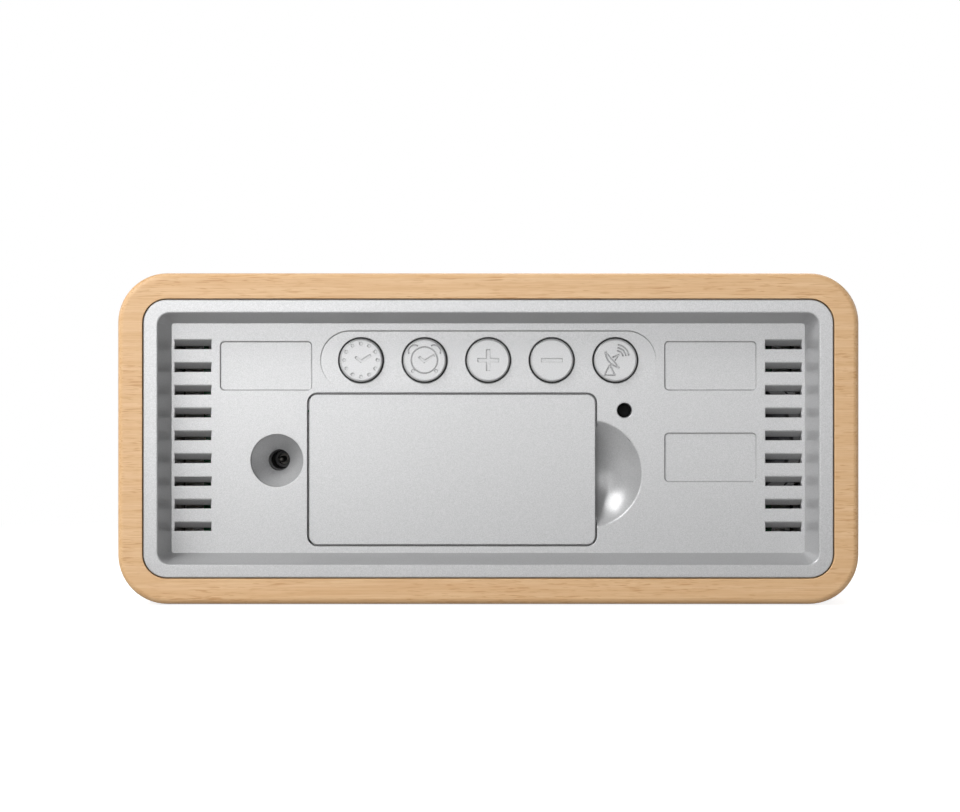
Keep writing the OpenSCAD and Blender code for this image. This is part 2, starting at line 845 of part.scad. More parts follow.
module main_board() {
    color("seagreen") difference() {
        block([-board_w / 2, board_y, board_z0], [board_w / 2, board_back_y, board_z1]);
        for (p = board_screw_places()) {
            rod_y(screw_hole_r, board_y - over, board_back_y + over, p[0], p[1]);
        }
        for (p = case_screw_places()) {
            rod_y(case_boss_r + tongue_side_gap, board_y - over, board_back_y + over, p[0], p[1]);
        }
    }
}

// Chip under resin, capacitors, crystal, receiver module and ribbon socket
module board_components() {
    ball = (chip_r * chip_r + chip_h * chip_h) / (2 * chip_h);
    color("black") {
        intersection() {
            translate([chip_x, board_back_y + chip_h - ball, case_z + chip_rise]) sphere(r = ball);
            rod_y(chip_r + over, board_back_y, board_back_y + chip_h + over, chip_x, case_z + chip_rise);
        }
        for (k = [0:1]) {
            rod_y(cap_r, board_back_y, board_back_y + cap_h, cap_x + k * cap_step, cap_z);
        }
        board_block(crystal_size, crystal_x, crystal_z);
        board_block(module_size, module_x, module_z);
        board_block([ribbon_w + 2 * socket_edge, socket_h, socket_w],
            -ribbon_w / 2 - socket_edge, ribbon_z - socket_w / 2);
    }
}

// Box of the given size on the main board's rear, with its low corner at x and z
module board_block(size, x, z) {
    translate([x, board_back_y, z]) cube(size);
}

module board_screws() {
    color("gray") for (p = board_screw_places()) {
        screw_in(screw_r, screw_head_r, screw_head_h, board_screw_l + pcb_t - slack,
            p[0], board_back_y + screw_head_h, p[1]);
    }
}

module antenna_rod() {
    color("dimgray") rod_x(rod_r, antenna_x - rod_l / 2, antenna_x + rod_l / 2, antenna_y, antenna_z);
}

module antenna_coil() {
    color("peru") difference() {
        rod_x(coil_r, antenna_x - coil_l / 2, antenna_x + coil_l / 2, antenna_y, antenna_z);
        rod_x(rod_r + snug, antenna_x - coil_l / 2 - over, antenna_x + coil_l / 2 + over,
            antenna_y, antenna_z);
    }
}

module antenna_clips() {
    color("white") for (s = [-1, 1]) {
        x = antenna_x + s * clip_dx;
        difference() {
            block([x - clip_t / 2, board_back_y, antenna_z - clip_half],
                [x + clip_t / 2, board_back_y + clip_top, antenna_z + clip_half]);
            rod_x(rod_r + snug, x - clip_t, x + clip_t, antenna_y, antenna_z);
        }
    }
}

module rear_cover() {
    color("silver") difference() {
        union() {
            plate_y(seat_y, rear_y) outline(ring_w, ring_h, ring_r, 0, case_z);
            plate_y(panel_in_y, seat_y + slack) outline(collar_w, collar_h, collar_r, 0, case_z);
            bay_box();
            scoop_shell();
            jack_boss();
            cover_posts();
        }
        hull() {
            plate_y(panel_y, panel_y + hull_skin)
                outline(floor_w, floor_h, floor_r, 0, case_z, $fn = 32);
            plate_y(rear_y, rear_y + over) outline(rim_w, rim_h, rim_r, 0, case_z, $fn = 32);
        }
        bay_cuts();
        scoop_cut();
        jack_cuts();
        panel_cuts();
        post_bores();
    }
}

module bay_box() {
    block([bay_x0 - bay_ledge_latch + door_gap, bay_out_y, door_z - bay_h / 2 - bay_wall],
        [bay_x1 + bay_wall, panel_in_y + slack, door_z + bay_h / 2 + bay_wall]);
}

module bay_cuts() {
    plate_y(door_in_y, panel_y + over) outline(open_w, open_h, door_r + door_gap, door_x, door_z);
    block([bay_x0, bay_floor_y, door_z - bay_h / 2], [bay_x1, panel_y, door_z + bay_h / 2]);
    for (s = [-1, 1]) {
        z = door_z + s * tongue_dz;
        half = tongue_w / 2 + tongue_side_gap;
        block([bay_x1 - over, tongue_low_y() - tongue_sweep, z - half],
            [bay_x1 + bay_wall + over, panel_in_y, z + half]);
        block([bay_x1 - over, tongue_low_y() - tongue_sweep, z - half],
            [door_x + open_w / 2, door_in_y + slack, z + half]);
    }
    for (p = case_screw_places()) {
        rod_y(case_screw_hole_r, bay_out_y - over, bay_floor_y + over, p[0], p[1]);
    }
    for (s = [-1, 1]) {
        block([bay_x0, bay_out_y - over, door_z + s * cell_dz - contact_tab_w / 2 - contact_slot_gap],
            [bay_x0 + contact_t + contact_slot_gap, bay_floor_y + over,
                door_z + s * cell_dz + contact_tab_w / 2 + contact_slot_gap]);
    }
}

// Lowest Y of the door's tongues
function tongue_low_y() = panel_in_y - tongue_top_gap - tongue_t;

// Middle of the sphere that forms the scoop
function scoop_centre(extra = 0) = [scoop_x, panel_y - scoop_depth + scoop_r, scoop_z];

module scoop_shell() {
    intersection() {
        translate(scoop_centre()) sphere(r = scoop_r + scoop_wall);
        block([scoop_x - scoop_rim - 2 * scoop_wall, panel_y - scoop_depth - 2 * scoop_wall,
                scoop_z - scoop_rim - 2 * scoop_wall],
            [bay_x0 - slack, panel_in_y + slack, scoop_z + scoop_rim + 2 * scoop_wall]);
    }
}

module scoop_cut() {
    intersection() {
        translate(scoop_centre()) sphere(r = scoop_r);
        block([scoop_x - 2 * scoop_rim, panel_y - 2 * scoop_depth, scoop_z - 2 * scoop_rim],
            [door_x - door_w / 2 + scoop_under, panel_y + over, scoop_z + 2 * scoop_rim]);
    }
}

module jack_boss() {
    dish_r = dish_d / 2;
    rod_y(dish_r + dish_wall, panel_y - dish_depth - dish_wall, panel_in_y + slack, jack_x, jack_z);
    rod_y(dish_hole_d / 2 + dish_wall, jack_y, panel_in_y, jack_x, jack_z);
}

module jack_cuts() {
    dish_r = dish_d / 2;
    hole_r = dish_hole_d / 2;
    rod_y(dish_r, panel_y - dish_straight, panel_y + over, jack_x, jack_z);
    cone_y(hole_r, dish_r, panel_y - dish_depth, panel_y - dish_straight, jack_x, jack_z);
    rod_y(hole_r, jack_y - over, panel_y, jack_x, jack_z);
}

module cover_posts() {
    for (p = key_post_places()) {
        rod_y(key_post_r, key_board_y, panel_in_y + slack, p[0], p[1]);
    }
    for (p = jack_post_places()) {
        rod_y(jack_post_r, jack_back_y, panel_in_y + slack, p[0], p[1]);
    }
    rod_y(reset_d / 2 + reset_wall, panel_in_y - reset_guide_l, panel_in_y + slack, reset_x, reset_z);
    difference() {
        rod_y(speaker_r + speaker_gap + speaker_ring_wall, panel_in_y - speaker_ring_l,
            panel_in_y + slack, speaker_x, case_z);
        rod_y(speaker_r + speaker_gap, panel_in_y - speaker_ring_l - over, panel_in_y,
            speaker_x, case_z);
    }
}

module post_bores() {
    for (p = key_post_places()) {
        rod_y(screw_r + snug, key_board_y - over, panel_in_y - over, p[0], p[1]);
    }
    for (p = jack_post_places()) {
        rod_y(screw_r + snug, jack_back_y - over, panel_in_y - over, p[0], p[1]);
    }
}

module panel_cuts() {
    island_cut();
    for (i = [0:4]) {
        rod_y(key_hole_r, panel_in_y - over, panel_y + over, key_x(i), key_z);
    }
    rod_y(reset_d / 2, panel_in_y - reset_guide_l - over, panel_y + over, reset_x, reset_z);
    for (p = [[label_x, label_z], [-label_x, label_z], [-label_x, label_z - label_step]]) {
        plate_y(panel_y - label_depth, panel_y + over) outline(label_w, label_h, label_r, p[0], p[1]);
    }
    for (s = [-1, 1], i = [0:louvre_count - 1]) {
        louvre(s * louvre_x, louvre_z(i));
    }
}

// The sunk field round the keys, deepest along its top and level with the panel near its foot
module island_cut() {
    top = key_z + island_h / 2;
    foot = key_z - island_h / 2 + island_fade;
    slope = island_depth / (top - foot);
    intersection() {
        plate_y(panel_y - island_depth, panel_y + over) stadium(island_w, island_h, 0, key_z);
        translate([-island_w, 0, 0]) rotate([90, 0, 90]) linear_extrude(height = 2 * island_w)
            polygon([[panel_y + over, foot - over / slope], [panel_y + over, top + over],
                [panel_y - slope * (top + over - foot), top + over]]);
    }
}

// One louvre, a slot that slants down as it goes in
module louvre(x, z) {
    slope = louvre_drop / panel_t;
    deep = panel_t + slack;
    half = louvre_h / 2;
    low = z - half;
    high = z + half;
    translate([x - louvre_w / 2, 0, 0]) rotate([90, 0, 90]) linear_extrude(height = louvre_w)
        polygon([[panel_y + over, low + over * slope], [panel_y + over, high + over * slope],
            [panel_y - deep, high - deep * slope], [panel_y - deep, low - deep * slope]]);
}

module battery_door() {
    low_y = tongue_low_y();
    neck_x = bay_x1 - snug - tongue_side_gap / 2;
    latch_x = bay_x0 + latch_gap;
    color("silver") {
        plate_y(door_in_y, panel_y) outline(door_w, door_h, door_r, door_x, door_z);
        for (s = [-1, 1]) {
            z = door_z + s * tongue_dz;
            block([neck_x - tongue_neck, low_y, z - tongue_w / 2],
                [neck_x, door_in_y + slack, z + tongue_w / 2]);
            block([neck_x - slack, low_y, z - tongue_w / 2],
                [door_x + door_w / 2 + tongue_reach, low_y + tongue_t, z + tongue_w / 2]);
        }
        block([latch_x, door_in_y - latch_l, door_z - latch_w / 2],
            [latch_x + latch_t, door_in_y + slack, door_z + latch_w / 2]);
    }
}

module case_screws() {
    color("gray") for (p = case_screw_places()) {
        screw_in(case_screw_r, case_screw_head_r, screw_head_h, case_screw_l,
            p[0], bay_floor_y + screw_head_h, p[1]);
    }
}

// Cell along X with its nub towards s
module cell(x_low, s, z) {
    body_l = cell_l - cell_nub_l;
    x_body = s > 0 ? x_low : x_low + cell_nub_l;
    x_nub = s > 0 ? x_low + body_l - slack : x_low;
    rod_x(cell_d / 2, x_body, x_body + body_l, cell_y, z);
    rod_x(cell_nub_d / 2, x_nub, x_nub + cell_nub_l + slack, cell_y, z);
}

module upper_cell() {
    color("steelblue") cell(bay_x1 - contact_t - cell_l, 1, door_z + cell_dz);
}

module lower_cell() {
    color("steelblue") cell(bay_x0 + contact_t, -1, door_z - cell_dz);
}

module bridge_contact() {
    color("lightgray") block([bay_x1 - contact_t, cell_y - contact_h / 2, door_z - cell_dz - contact_w / 2],
        [bay_x1, cell_y + contact_h / 2 - over, door_z + cell_dz + contact_w / 2]);
}

// Contact plate at the bay's latch end, with its tab through the bay's floor
module tab_contact(z) {
    block([bay_x0, cell_y - contact_h / 2, z - contact_w / 2],
        [bay_x0 + contact_t, cell_y + contact_h / 2, z + contact_w / 2]);
    block([bay_x0, bay_floor_y - contact_tab_l, z - contact_tab_w / 2],
        [bay_x0 + contact_t, cell_y, z + contact_tab_w / 2]);
}

module positive_contact() {
    color("lightgray") tab_contact(door_z - cell_dz);
}

module negative_contact() {
    color("lightgray") tab_contact(door_z + cell_dz);
}

// Tube of radius r through the points, with a flat face at each end
module tube(points, r, sides) {
    last = len(points) - 1;
    rings = [for (i = [0:last]) let (
            t = points[min(i + 1, last)] - points[max(i - 1, 0)],
            u = t / norm(t),
            v = cross(u, abs(u[0]) > abs(u[2]) ? [0, 0, 1] : [1, 0, 0]),
            a = v / norm(v),
            b = cross(u, a))
        for (k = [0:sides - 1]) points[i] + r * (cos(360 * k / sides) * a + sin(360 * k / sides) * b)];
    walls = [for (i = [0:last - 1], k = [0:sides - 1]) let (
            n = (k + 1) % sides,
            p = i * sides)
        each [[p + k, p + n, p + sides + k], [p + n, p + sides + n, p + sides + k]]];
    start = [for (k = [1:sides - 2]) [0, k + 1, k]];
    end = [for (k = [1:sides - 2]) [last * sides, last * sides + k, last * sides + k + 1]];
    polyhedron(points = rings, faces = concat(walls, start, end));
}

// Points along a cone spring that starts at x0, its wide end, and ends at x1
function spring_points(x0, x1, z) = let (
        s = sign(x1 - x0),
        first = x0 + s * (spring_wire / 2 + spring_gap),
        final = x1 - s * (spring_wire / 2 + spring_gap),
        count = spring_turns * spring_rings)
    [for (i = [0:count]) let (
            share = i / count,
            r = spring_big_r + (spring_small_r - spring_big_r) * share,
            a = 360 * spring_turns * share)
        [first + (final - first) * share, cell_y + r * cos(a), z + r * sin(a)]];

// Least gap between the turns of a wire through the points
function turn_gap(points, wire) = min([for (i = [0:len(points) - 1 - spring_rings / 2])
    min([for (j = [i + spring_rings / 2:len(points) - 1]) norm(points[j] - points[i])])]) - wire;

module contact_springs() {
    upper = spring_points(bay_x0 + contact_t, bay_x1 - contact_t - cell_l, door_z + cell_dz);
    lower = spring_points(bay_x1 - contact_t, bay_x0 + contact_t + cell_l, door_z - cell_dz);
    echo(spring_turn_gap = min(turn_gap(upper, spring_wire), turn_gap(lower, spring_wire)));
    color("lightgray") {
        tube(upper, spring_wire / 2, spring_sides);
        tube(lower, spring_wire / 2, spring_sides);
    }
}

module key_board() {
    low_y = key_board_y - pcb_t;
    color("seagreen") difference() {
        union() {
            block([key_board_x0, low_y, key_board_z0], [key_board_x1, key_board_y, key_board_z1]);
            block([key_board_x0, low_y, key_tab_z0], [key_tab_x1, key_board_y, key_board_z0 + slack]);
        }
        for (p = key_post_places()) {
            rod_y(screw_hole_r, low_y - over, key_board_y + over, p[0], p[1]);
        }
    }
}

// Body of a switch, with the hole that its key's stem presses into
module switch_body(x, z, hole_r) {
    half = switch_w / 2;
    difference() {
        block([x - half, key_board_y, z - half], [x + half, key_board_y + switch_h, z + half]);
        rod_y(hole_r, key_board_y + switch_floor, key_board_y + switch_h + over, x, z);
    }
}

module key_switches() {
    color("black") {
        for (i = [0:4]) {
            switch_body(key_x(i), key_z, key_stem_r + key_stem_gap);
        }
        switch_body(reset_x, reset_z, reset_key_r + key_stem_gap);
    }
}

module key_board_screws() {
    color("gray") for (p = key_post_places()) {
        screw_out(screw_r, screw_head_r, screw_head_h, pcb_t + corner_screw_l,
            p[0], key_board_y - pcb_t - screw_head_h, p[1]);
    }
}

// Cap, flange and stem of a rear button, with its sign cut into the cap
module button(i) {
    x = key_x(i);
    top = panel_y + key_proud;
    flange_y = panel_in_y - slack;
    color("silver") difference() {
        union() {
            rod_y(key_d / 2, flange_y - slack, top, x, key_z);
            rod_y(key_flange_r, flange_y - key_flange_t, flange_y, x, key_z);
            rod_y(key_stem_r, key_stem_y, flange_y - key_flange_t + slack, x, key_z);
        }
        translate([x, top, key_z]) children();
    }
}

// Dot in a button's sign
module dot(x, z, r) {
    rod_y(r, -sign_depth, over, x, z);
}

// Ring in a button's sign, cut to the wedge between two angles where they are given
module arc(x, z, r, w, from = 0, to = 360) {
    far = 2 * key_d;
    translate([x, 0, z]) intersection() {
        difference() {
            rod_y(r + w / 2, -sign_depth, over, 0, 0);
            rod_y(r - w / 2, -sign_depth - over, 2 * over, 0, 0);
        }
        if (to - from < 360) {
            mid = (from + to) / 2;
            plate_y(-2 * over, 2 * over) polygon([[0, 0], far * [cos(from), sin(from)],
                far * [cos(mid), sin(mid)], far * [cos(to), sin(to)]]);
        }
    }
}

// Hands of a clock sign at about ten past ten, seen from behind
module hands() {
    w = hand_w_share * key_d;
    for (h = [[hand_long_share * key_d, 148], [hand_short_share * key_d, 40]]) {
        translate([0, 0, -w / 2]) rotate([0, -h[1], 0])
            block([-w / 2, -sign_depth, -w / 2], [h[0], over, w / 2]);
    }
}

module time_button() {
    button(0) {
        for (k = [0:11]) {
            dot(dot_ring_share * key_d * cos(30 * k), dot_ring_share * key_d * sin(30 * k),
                dot_r_share * key_d);
        }
        hands();
    }
}

module alarm_button() {
    line = line_w_share * key_d;
    bell = bell_place_shares * key_d;
    foot = foot_place_shares * key_d;
    button(1) {
        arc(0, 0, bell_ring_share * key_d, line);
        hands();
        for (s = [-1, 1]) {
            arc(s * bell[0], bell[1], bell_r_share * key_d, line, s > 0 ? -20 : 60, s > 0 ? 120 : 200);
            dot(s * foot[0], foot[1], dot_r_share * key_d);
        }
    }
}

module bar(half_l, half_w, turned) {
    x = turned ? half_w : half_l;
    z = turned ? half_l : half_w;
    block([-x, -sign_depth, -z], [x, over, z]);
}

module plus_button() {
    half_l = mark_l_share * key_d / 2;
    half_w = mark_w_share * key_d / 2;
    button(2) {
        bar(half_l, half_w, false);
        bar(half_l, half_w, true);
    }
}

module minus_button() {
    button(3) bar(mark_l_share * key_d / 2, mark_w_share * key_d / 2, false);
}

// Stroke of length l from a point, turned from the +X direction
module stroke(from, angle, l, w) {
    translate([from[0], 0, from[1]]) rotate([0, -angle, 0])
        block([0, -sign_depth, -w / 2], [l, over, w / 2]);
}

// Aerial dish on a stand, with the waves that it catches
module signal_button() {
    line = line_w_share * key_d;
    aerial = aerial_place_shares * key_d;
    wave = wave_place_shares * key_d;
    mast = mast_place_shares * key_d;
    mast_l = mast_l_share * key_d;
    button(4) {
        arc(aerial[0], aerial[1], aerial_r_share * key_d, line, -81, -2);
        stroke(chord_place_shares * key_d, -131, chord_l_share * key_d, line);
        for (angle = [-21, -56]) {
            stroke(horn_place_shares * key_d, angle, horn_l_share * key_d, line);
        }
        for (k = [1:3]) {
            arc(wave[0], wave[1], (wave_r_share + wave_step_share * k) * key_d, line, 95, 172);
        }
        for (angle = [-63, -117]) {
            stroke(mast, angle, mast_l, line);
        }
        stroke(mast + mast_l * [cos(63), -sin(63)], 180, 2 * mast_l * cos(63), line);
    }
}

module reset_button() {
    color("black") rod_y(reset_key_r, key_board_y + switch_floor + key_stem_gap + reset_travel,
        panel_y - reset_sink, reset_x, reset_z);
}

module dc_jack() {
    color("black") difference() {
        block([jack_x - jack_w / 2, jack_back_y, jack_z - jack_h / 2],
            [jack_x + jack_w / 2, jack_y, jack_z + jack_h / 2]);
        rod_y(jack_bore_d / 2, jack_y - jack_bore_l, jack_y + over, jack_x, jack_z);
        rod_y(jack_pin_foot_r + snug, jack_back_y - over, jack_y, jack_x, jack_z);
    }
}

module dc_jack_pin() {
    color("gold") {
        rod_y(jack_pin_foot_r, jack_back_y, jack_y - jack_bore_l, jack_x, jack_z);
        rod_y(jack_pin_d / 2, jack_y - jack_bore_l - slack, jack_y - jack_pin_sink, jack_x, jack_z);
    }
}

module jack_board() {
    low_y = jack_back_y - pcb_t;
    color("seagreen") difference() {
        block([jack_x - jack_board_w / 2, low_y, jack_z - jack_board_h / 2],
            [jack_x + jack_board_w / 2, jack_back_y, jack_z + jack_board_h / 2]);
        for (p = jack_post_places()) {
            rod_y(screw_hole_r, low_y - over, jack_back_y + over, p[0], p[1]);
        }
    }
}

module jack_board_screws() {
    color("gray") for (p = jack_post_places()) {
        screw_out(screw_r, screw_head_r, screw_head_h, pcb_t + corner_screw_l,
            p[0], jack_back_y - pcb_t - screw_head_h, p[1]);
    }
}

module speaker_basket() {
    back_y = panel_in_y - speaker_depth;
    color("dimgray") difference() {
        union() {
            rod_y(speaker_r, panel_in_y - speaker_rim_t, panel_in_y, speaker_x, case_z);
            cone_y(speaker_neck_r, speaker_r - speaker_rim / 2, back_y, panel_in_y - speaker_rim_t,
                speaker_x, case_z);
        }
        cone_y(speaker_neck_r - speaker_skin, speaker_r - speaker_rim, back_y + speaker_skin,
            panel_in_y + slack, speaker_x, case_z);
    }
}

module speaker_cone() {
    low_y = panel_in_y - speaker_depth + speaker_skin;
    rise_share = (speaker_depth - 2 * speaker_skin) / (speaker_depth - speaker_skin + slack);
    neck_r = speaker_neck_r - speaker_skin;
    rim_r0 = neck_r + (speaker_r - speaker_rim - neck_r) * rise_share - snug;
    color("darkslategray") difference() {
        cone_y(magnet_r / 2, rim_r0, low_y, panel_in_y - speaker_skin, speaker_x, case_z);
        cone_y(magnet_r / 2 - speaker_skin, rim_r0 - speaker_skin / 2, low_y + speaker_skin,
            panel_in_y - speaker_skin + slack, speaker_x, case_z);
    }
}

module speaker_magnet() {
    back_y = panel_in_y - speaker_depth;
    color("gray") rod_y(magnet_r, back_y - magnet_t, back_y, speaker_x, case_z);
}

module snooze_carrier() {
    color("silver") difference() {
        union() {
            plate_z(carrier_z, case_top) stadium(snooze_out_w, snooze_out_d, snooze_x, top_y);
            plate_z(carrier_z, bore_top) outline(snooze_out_w + 2 * carrier_edge_x,
                snooze_out_d + 2 * carrier_edge_y, carrier_edge_x, snooze_x, top_y);
        }
        plate_z(carrier_z - over, case_top + over) stadium(snooze_in_w, snooze_in_d, snooze_x, top_y);
        plate_z(carrier_z - over, snooze_step_z) stadium(snooze_low_w, snooze_low_d, snooze_x, top_y);
        for (p = carrier_screw_places()) {
            rod_z(screw_hole_r, carrier_z - over, bore_top + over, p[0], p[1]);
        }
        for (p = snooze_screw_places()) {
            rod_z(screw_r + snug, carrier_z - over, bore_top - snug, p[0], p[1]);
        }
    }
}

module snooze_key() {
    low_z = snooze_lip_z - snooze_lip_t;
    color("silver") {
        plate_z(low_z, snooze_top) stadium(snooze_w, snooze_d, snooze_x, top_y);
        plate_z(low_z, snooze_lip_z)
            stadium(snooze_w + 2 * snooze_lip, snooze_d + 2 * snooze_lip, snooze_x, top_y);
        for (s = [-1, 1]) {
            rod_z(key_stem_r, carrier_z + snooze_switch_h - snooze_stem_in, low_z + slack,
                snooze_x + s * snooze_switch_dx, top_y);
        }
    }
}

module snooze_board() {
    low_z = carrier_z - pcb_t;
    color("seagreen") difference() {
        block([snooze_x - snooze_board_w / 2, top_y - snooze_board_d / 2, low_z],
            [snooze_x + snooze_board_w / 2, top_y + snooze_board_d / 2, carrier_z]);
        for (p = snooze_screw_places()) {
            rod_z(screw_hole_r, low_z - over, carrier_z + over, p[0], p[1]);
        }
    }
}

module snooze_switches() {
    half = switch_w / 2;
    hole_z = carrier_z + snooze_switch_h - 2 * snooze_stem_in - snooze_travel / 2;
    color("black") for (s = [-1, 1]) {
        x = snooze_x + s * snooze_switch_dx;
        difference() {
            block([x - half, top_y - half, carrier_z],
                [x + half, top_y + half, carrier_z + snooze_switch_h]);
            rod_z(key_stem_r + key_stem_gap, hole_z, carrier_z + snooze_switch_h + over, x, top_y);
        }
    }
}

module snooze_board_screws() {
    color("gray") for (p = snooze_screw_places()) {
        screw_up(screw_r, screw_head_r, screw_head_h, pcb_t + carrier_t - 2 * slack,
            p[0], p[1], carrier_z - pcb_t - screw_head_h);
    }
}

module top_screws() {
    color("gray") for (p = top_screw_places()) {
        screw_up(top_screw_r, screw_head_r, screw_head_h, carrier_t + top_screw_l - 2 * slack,
            p[0], p[1], carrier_z - screw_head_h);
    }
}

module projector_cradle() {
    cheek_w = 2 * cheek_r;
    color("silver") difference() {
        union() {
            plate_z(carrier_z, case_top) outline(2 * cradle_out_x, 2 * cradle_out_y, cradle_r,
                drum_x, top_y);
            plate_z(carrier_z, bore_top) outline(2 * (cradle_out_x + cradle_edge_x),
                2 * (cradle_out_y + cradle_edge_y), cradle_r, drum_x, top_y);
            for (s = [-1, 1]) {
                x0 = drum_x + s * (cradle_in_x + cradle_wall / 2) - cradle_wall / 2;
                block([x0, top_y - cheek_r, drum_z],
                    [x0 + cradle_wall, top_y + cheek_r, carrier_z + slack]);
                rod_x(cheek_r, x0, x0 + cradle_wall, top_y, drum_z);
            }
        }
        block([drum_x - cradle_in_x, top_y - cradle_in_y, carrier_z - cheek_w],
            [drum_x + cradle_in_x, top_y + cradle_in_y, case_top + over]);
        rod_x(pivot_r + pivot_gap, drum_x - cradle_out_x - over, drum_x + cradle_out_x + over,
            top_y, drum_z);
        for (p = cradle_screw_places()) {
            rod_z(screw_hole_r, carrier_z - over, bore_top + over, p[0], p[1]);
        }
    }
}

module projector_drum() {
    half = drum_l / 2;
    well_r = focus_d / 2 + focus_well_gap;
    color("gray") difference() {
        union() {
            rod_x(drum_r, drum_x - half, drum_x + half, top_y, drum_z);
            rod_x(pivot_r, drum_x - cradle_out_x, drum_x + cradle_out_x, top_y, drum_z);
        }
        rod_z(well_r, drum_z + focus_well_z, drum_z + drum_r + over, drum_x, top_y);
        rod_z(optic_r, drum_z - drum_r - over, drum_z + focus_well_z + over, drum_x, top_y);
        for (s = [-1, 1], i = [0:groove_count - 1]) {
            angle = s * (groove_first_angle + groove_step_angle * i);
            rod_x(groove_r, drum_x - half - over, drum_x + half + over,
                top_y + drum_r * sin(angle), drum_z + drum_r * cos(angle));
        }
    }
}

module focus_ring() {
    r = focus_d / 2;
    low_z = drum_z + focus_well_z + focus_lift;
    color("black") difference() {
        rod_z(r, low_z, low_z + focus_h, drum_x, top_y);
        rod_z(lens_d / 2 + lens_gap, low_z - over, low_z + focus_h + over, drum_x, top_y);
        for (k = [0:focus_notches - 1]) {
            rod_z(focus_notch_r, low_z + focus_h / 2, low_z + focus_h + over,
                drum_x + r * cos(360 * k / focus_notches), top_y + r * sin(360 * k / focus_notches));
        }
    }
}

// Lens with a flat underside and a domed top
module projection_lens() {
    low_z = drum_z + focus_well_z + focus_lift;
    ball = lens_d * lens_ball_share;
    color("lightcyan") intersection() {
        rod_z(lens_d / 2, low_z, low_z + 2 * lens_t, drum_x, top_y);
        translate([drum_x, top_y, low_z + lens_t - ball]) sphere(r = ball);
    }
}

module projector_slide() {
    color("darkslategray") rod_z(optic_r - snug, drum_z + slide_z, drum_z + slide_z + slide_t,
        drum_x, top_y);
}

module condenser_lens() {
    low_z = drum_z + condenser_z;
    ball = lens_d * lens_ball_share;
    color("lightcyan") intersection() {
        rod_z(optic_r - snug, low_z, low_z + 2 * condenser_t, drum_x, top_y);
        translate([drum_x, top_y, low_z + condenser_t - ball]) sphere(r = ball);
    }
}

module projector_led() {
    low_z = drum_z + led_z;
    color("lightyellow") {
        rod_z(optic_r - snug, low_z, low_z + led_board_t, drum_x, top_y);
        intersection() {
            rod_z(led_r, low_z, low_z + led_board_t + 2 * led_h, drum_x, top_y);
            translate([drum_x, top_y, low_z + led_board_t + led_h - led_r]) sphere(r = led_r + snug);
        }
    }
}

module key_ribbon() {
    color("lightgray") block([-ribbon_w / 2, board_back_y + socket_h, ribbon_z - ribbon_t / 2],
        [ribbon_w / 2, key_board_y - pcb_t, ribbon_z + ribbon_t / 2]);
}

// Point at share t of a smooth route from a to d, which leaves a towards b and reaches d from c
function route_point(a, b, c, d, t) = pow(1 - t, 3) * a + 3 * pow(1 - t, 2) * t * b
    + 3 * (1 - t) * t * t * c + t * t * t * d;

// Lead from a, which it leaves along u, to the main board at [x, z]
module lead(a, u, x, z) {
    d = [x, board_back_y, z];
    b = a + lead_ease * u;
    c = d + [0, lead_ease, 0];
    shares = concat([0, lead_end_share], [for (i = [1:lead_rings - 1]) i / lead_rings],
        [1 - lead_end_share, 1]);
    tube([for (t = shares) route_point(a, b, c, d, t)], lead_r, lead_sides);
}

// Start and main board end of each lead: battery, inlet, speaker and snooze board
module hookup_leads() {
    inwards = [0, -1, 0];
    color("firebrick") {
        for (s = [-1, 1]) {
            lead([bay_x0 + contact_t / 2, bay_floor_y - contact_tab_l, door_z + s * cell_dz], inwards,
                bay_x0 + s * lead_step, door_z + s * (cell_dz - lead_step));
            lead([jack_x + s * lead_step, jack_back_y - pcb_t, jack_z], inwards,
                jack_x + s * lead_step - lead_step, jack_z + lead_step);
            lead([speaker_x + s * lead_step, panel_in_y - speaker_depth - magnet_t, case_z], inwards,
                speaker_x + s * lead_step + lead_step, case_z + lead_step);
            lead([snooze_x + s * lead_step, top_y - snooze_board_d / 2 + lead_step, carrier_z - pcb_t],
                [0, 0, -1], snooze_x + s * lead_step, key_board_z1 - lead_step);
        }
    }
}

wood_case();
foot_pads();
front_bezel();
display_window();
display_gasket();
lcd_glass();
light_guide();
contact_strips();
display_chassis();
chassis_screws();
main_board();
board_components();
board_screws();
antenna_rod();
antenna_coil();
antenna_clips();
rear_cover();
battery_door();
case_screws();
upper_cell();
lower_cell();
bridge_contact();
positive_contact();
negative_contact();
contact_springs();
key_board();
key_switches();
key_board_screws();
time_button();
alarm_button();
plus_button();
minus_button();
signal_button();
reset_button();
dc_jack();
dc_jack_pin();
jack_board();
jack_board_screws();
speaker_basket();
speaker_cone();
speaker_magnet();
snooze_carrier();
snooze_key();
snooze_board();
snooze_switches();
snooze_board_screws();
projector_cradle();
projector_drum();
focus_ring();
projection_lens();
projector_slide();
condenser_lens();
projector_led();
top_screws();
key_ribbon();
hookup_leads();
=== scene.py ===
"""Projection alarm clock in a wood sleeve: casings, keys, display, projector and inner parts.

Sizes here are in millimetres, as a maker writes them, and MM turns them into metres when a mesh is made.
X runs across the clock, +Y points out of the back and Z runs up from the surface that it stands on.
"""
import logging
import math
from dataclasses import dataclass, replace
from enum import Enum
from typing import Callable, Optional, Sequence, Union

import bmesh
import bpy
import numpy as np
from mathutils import Matrix, Vector


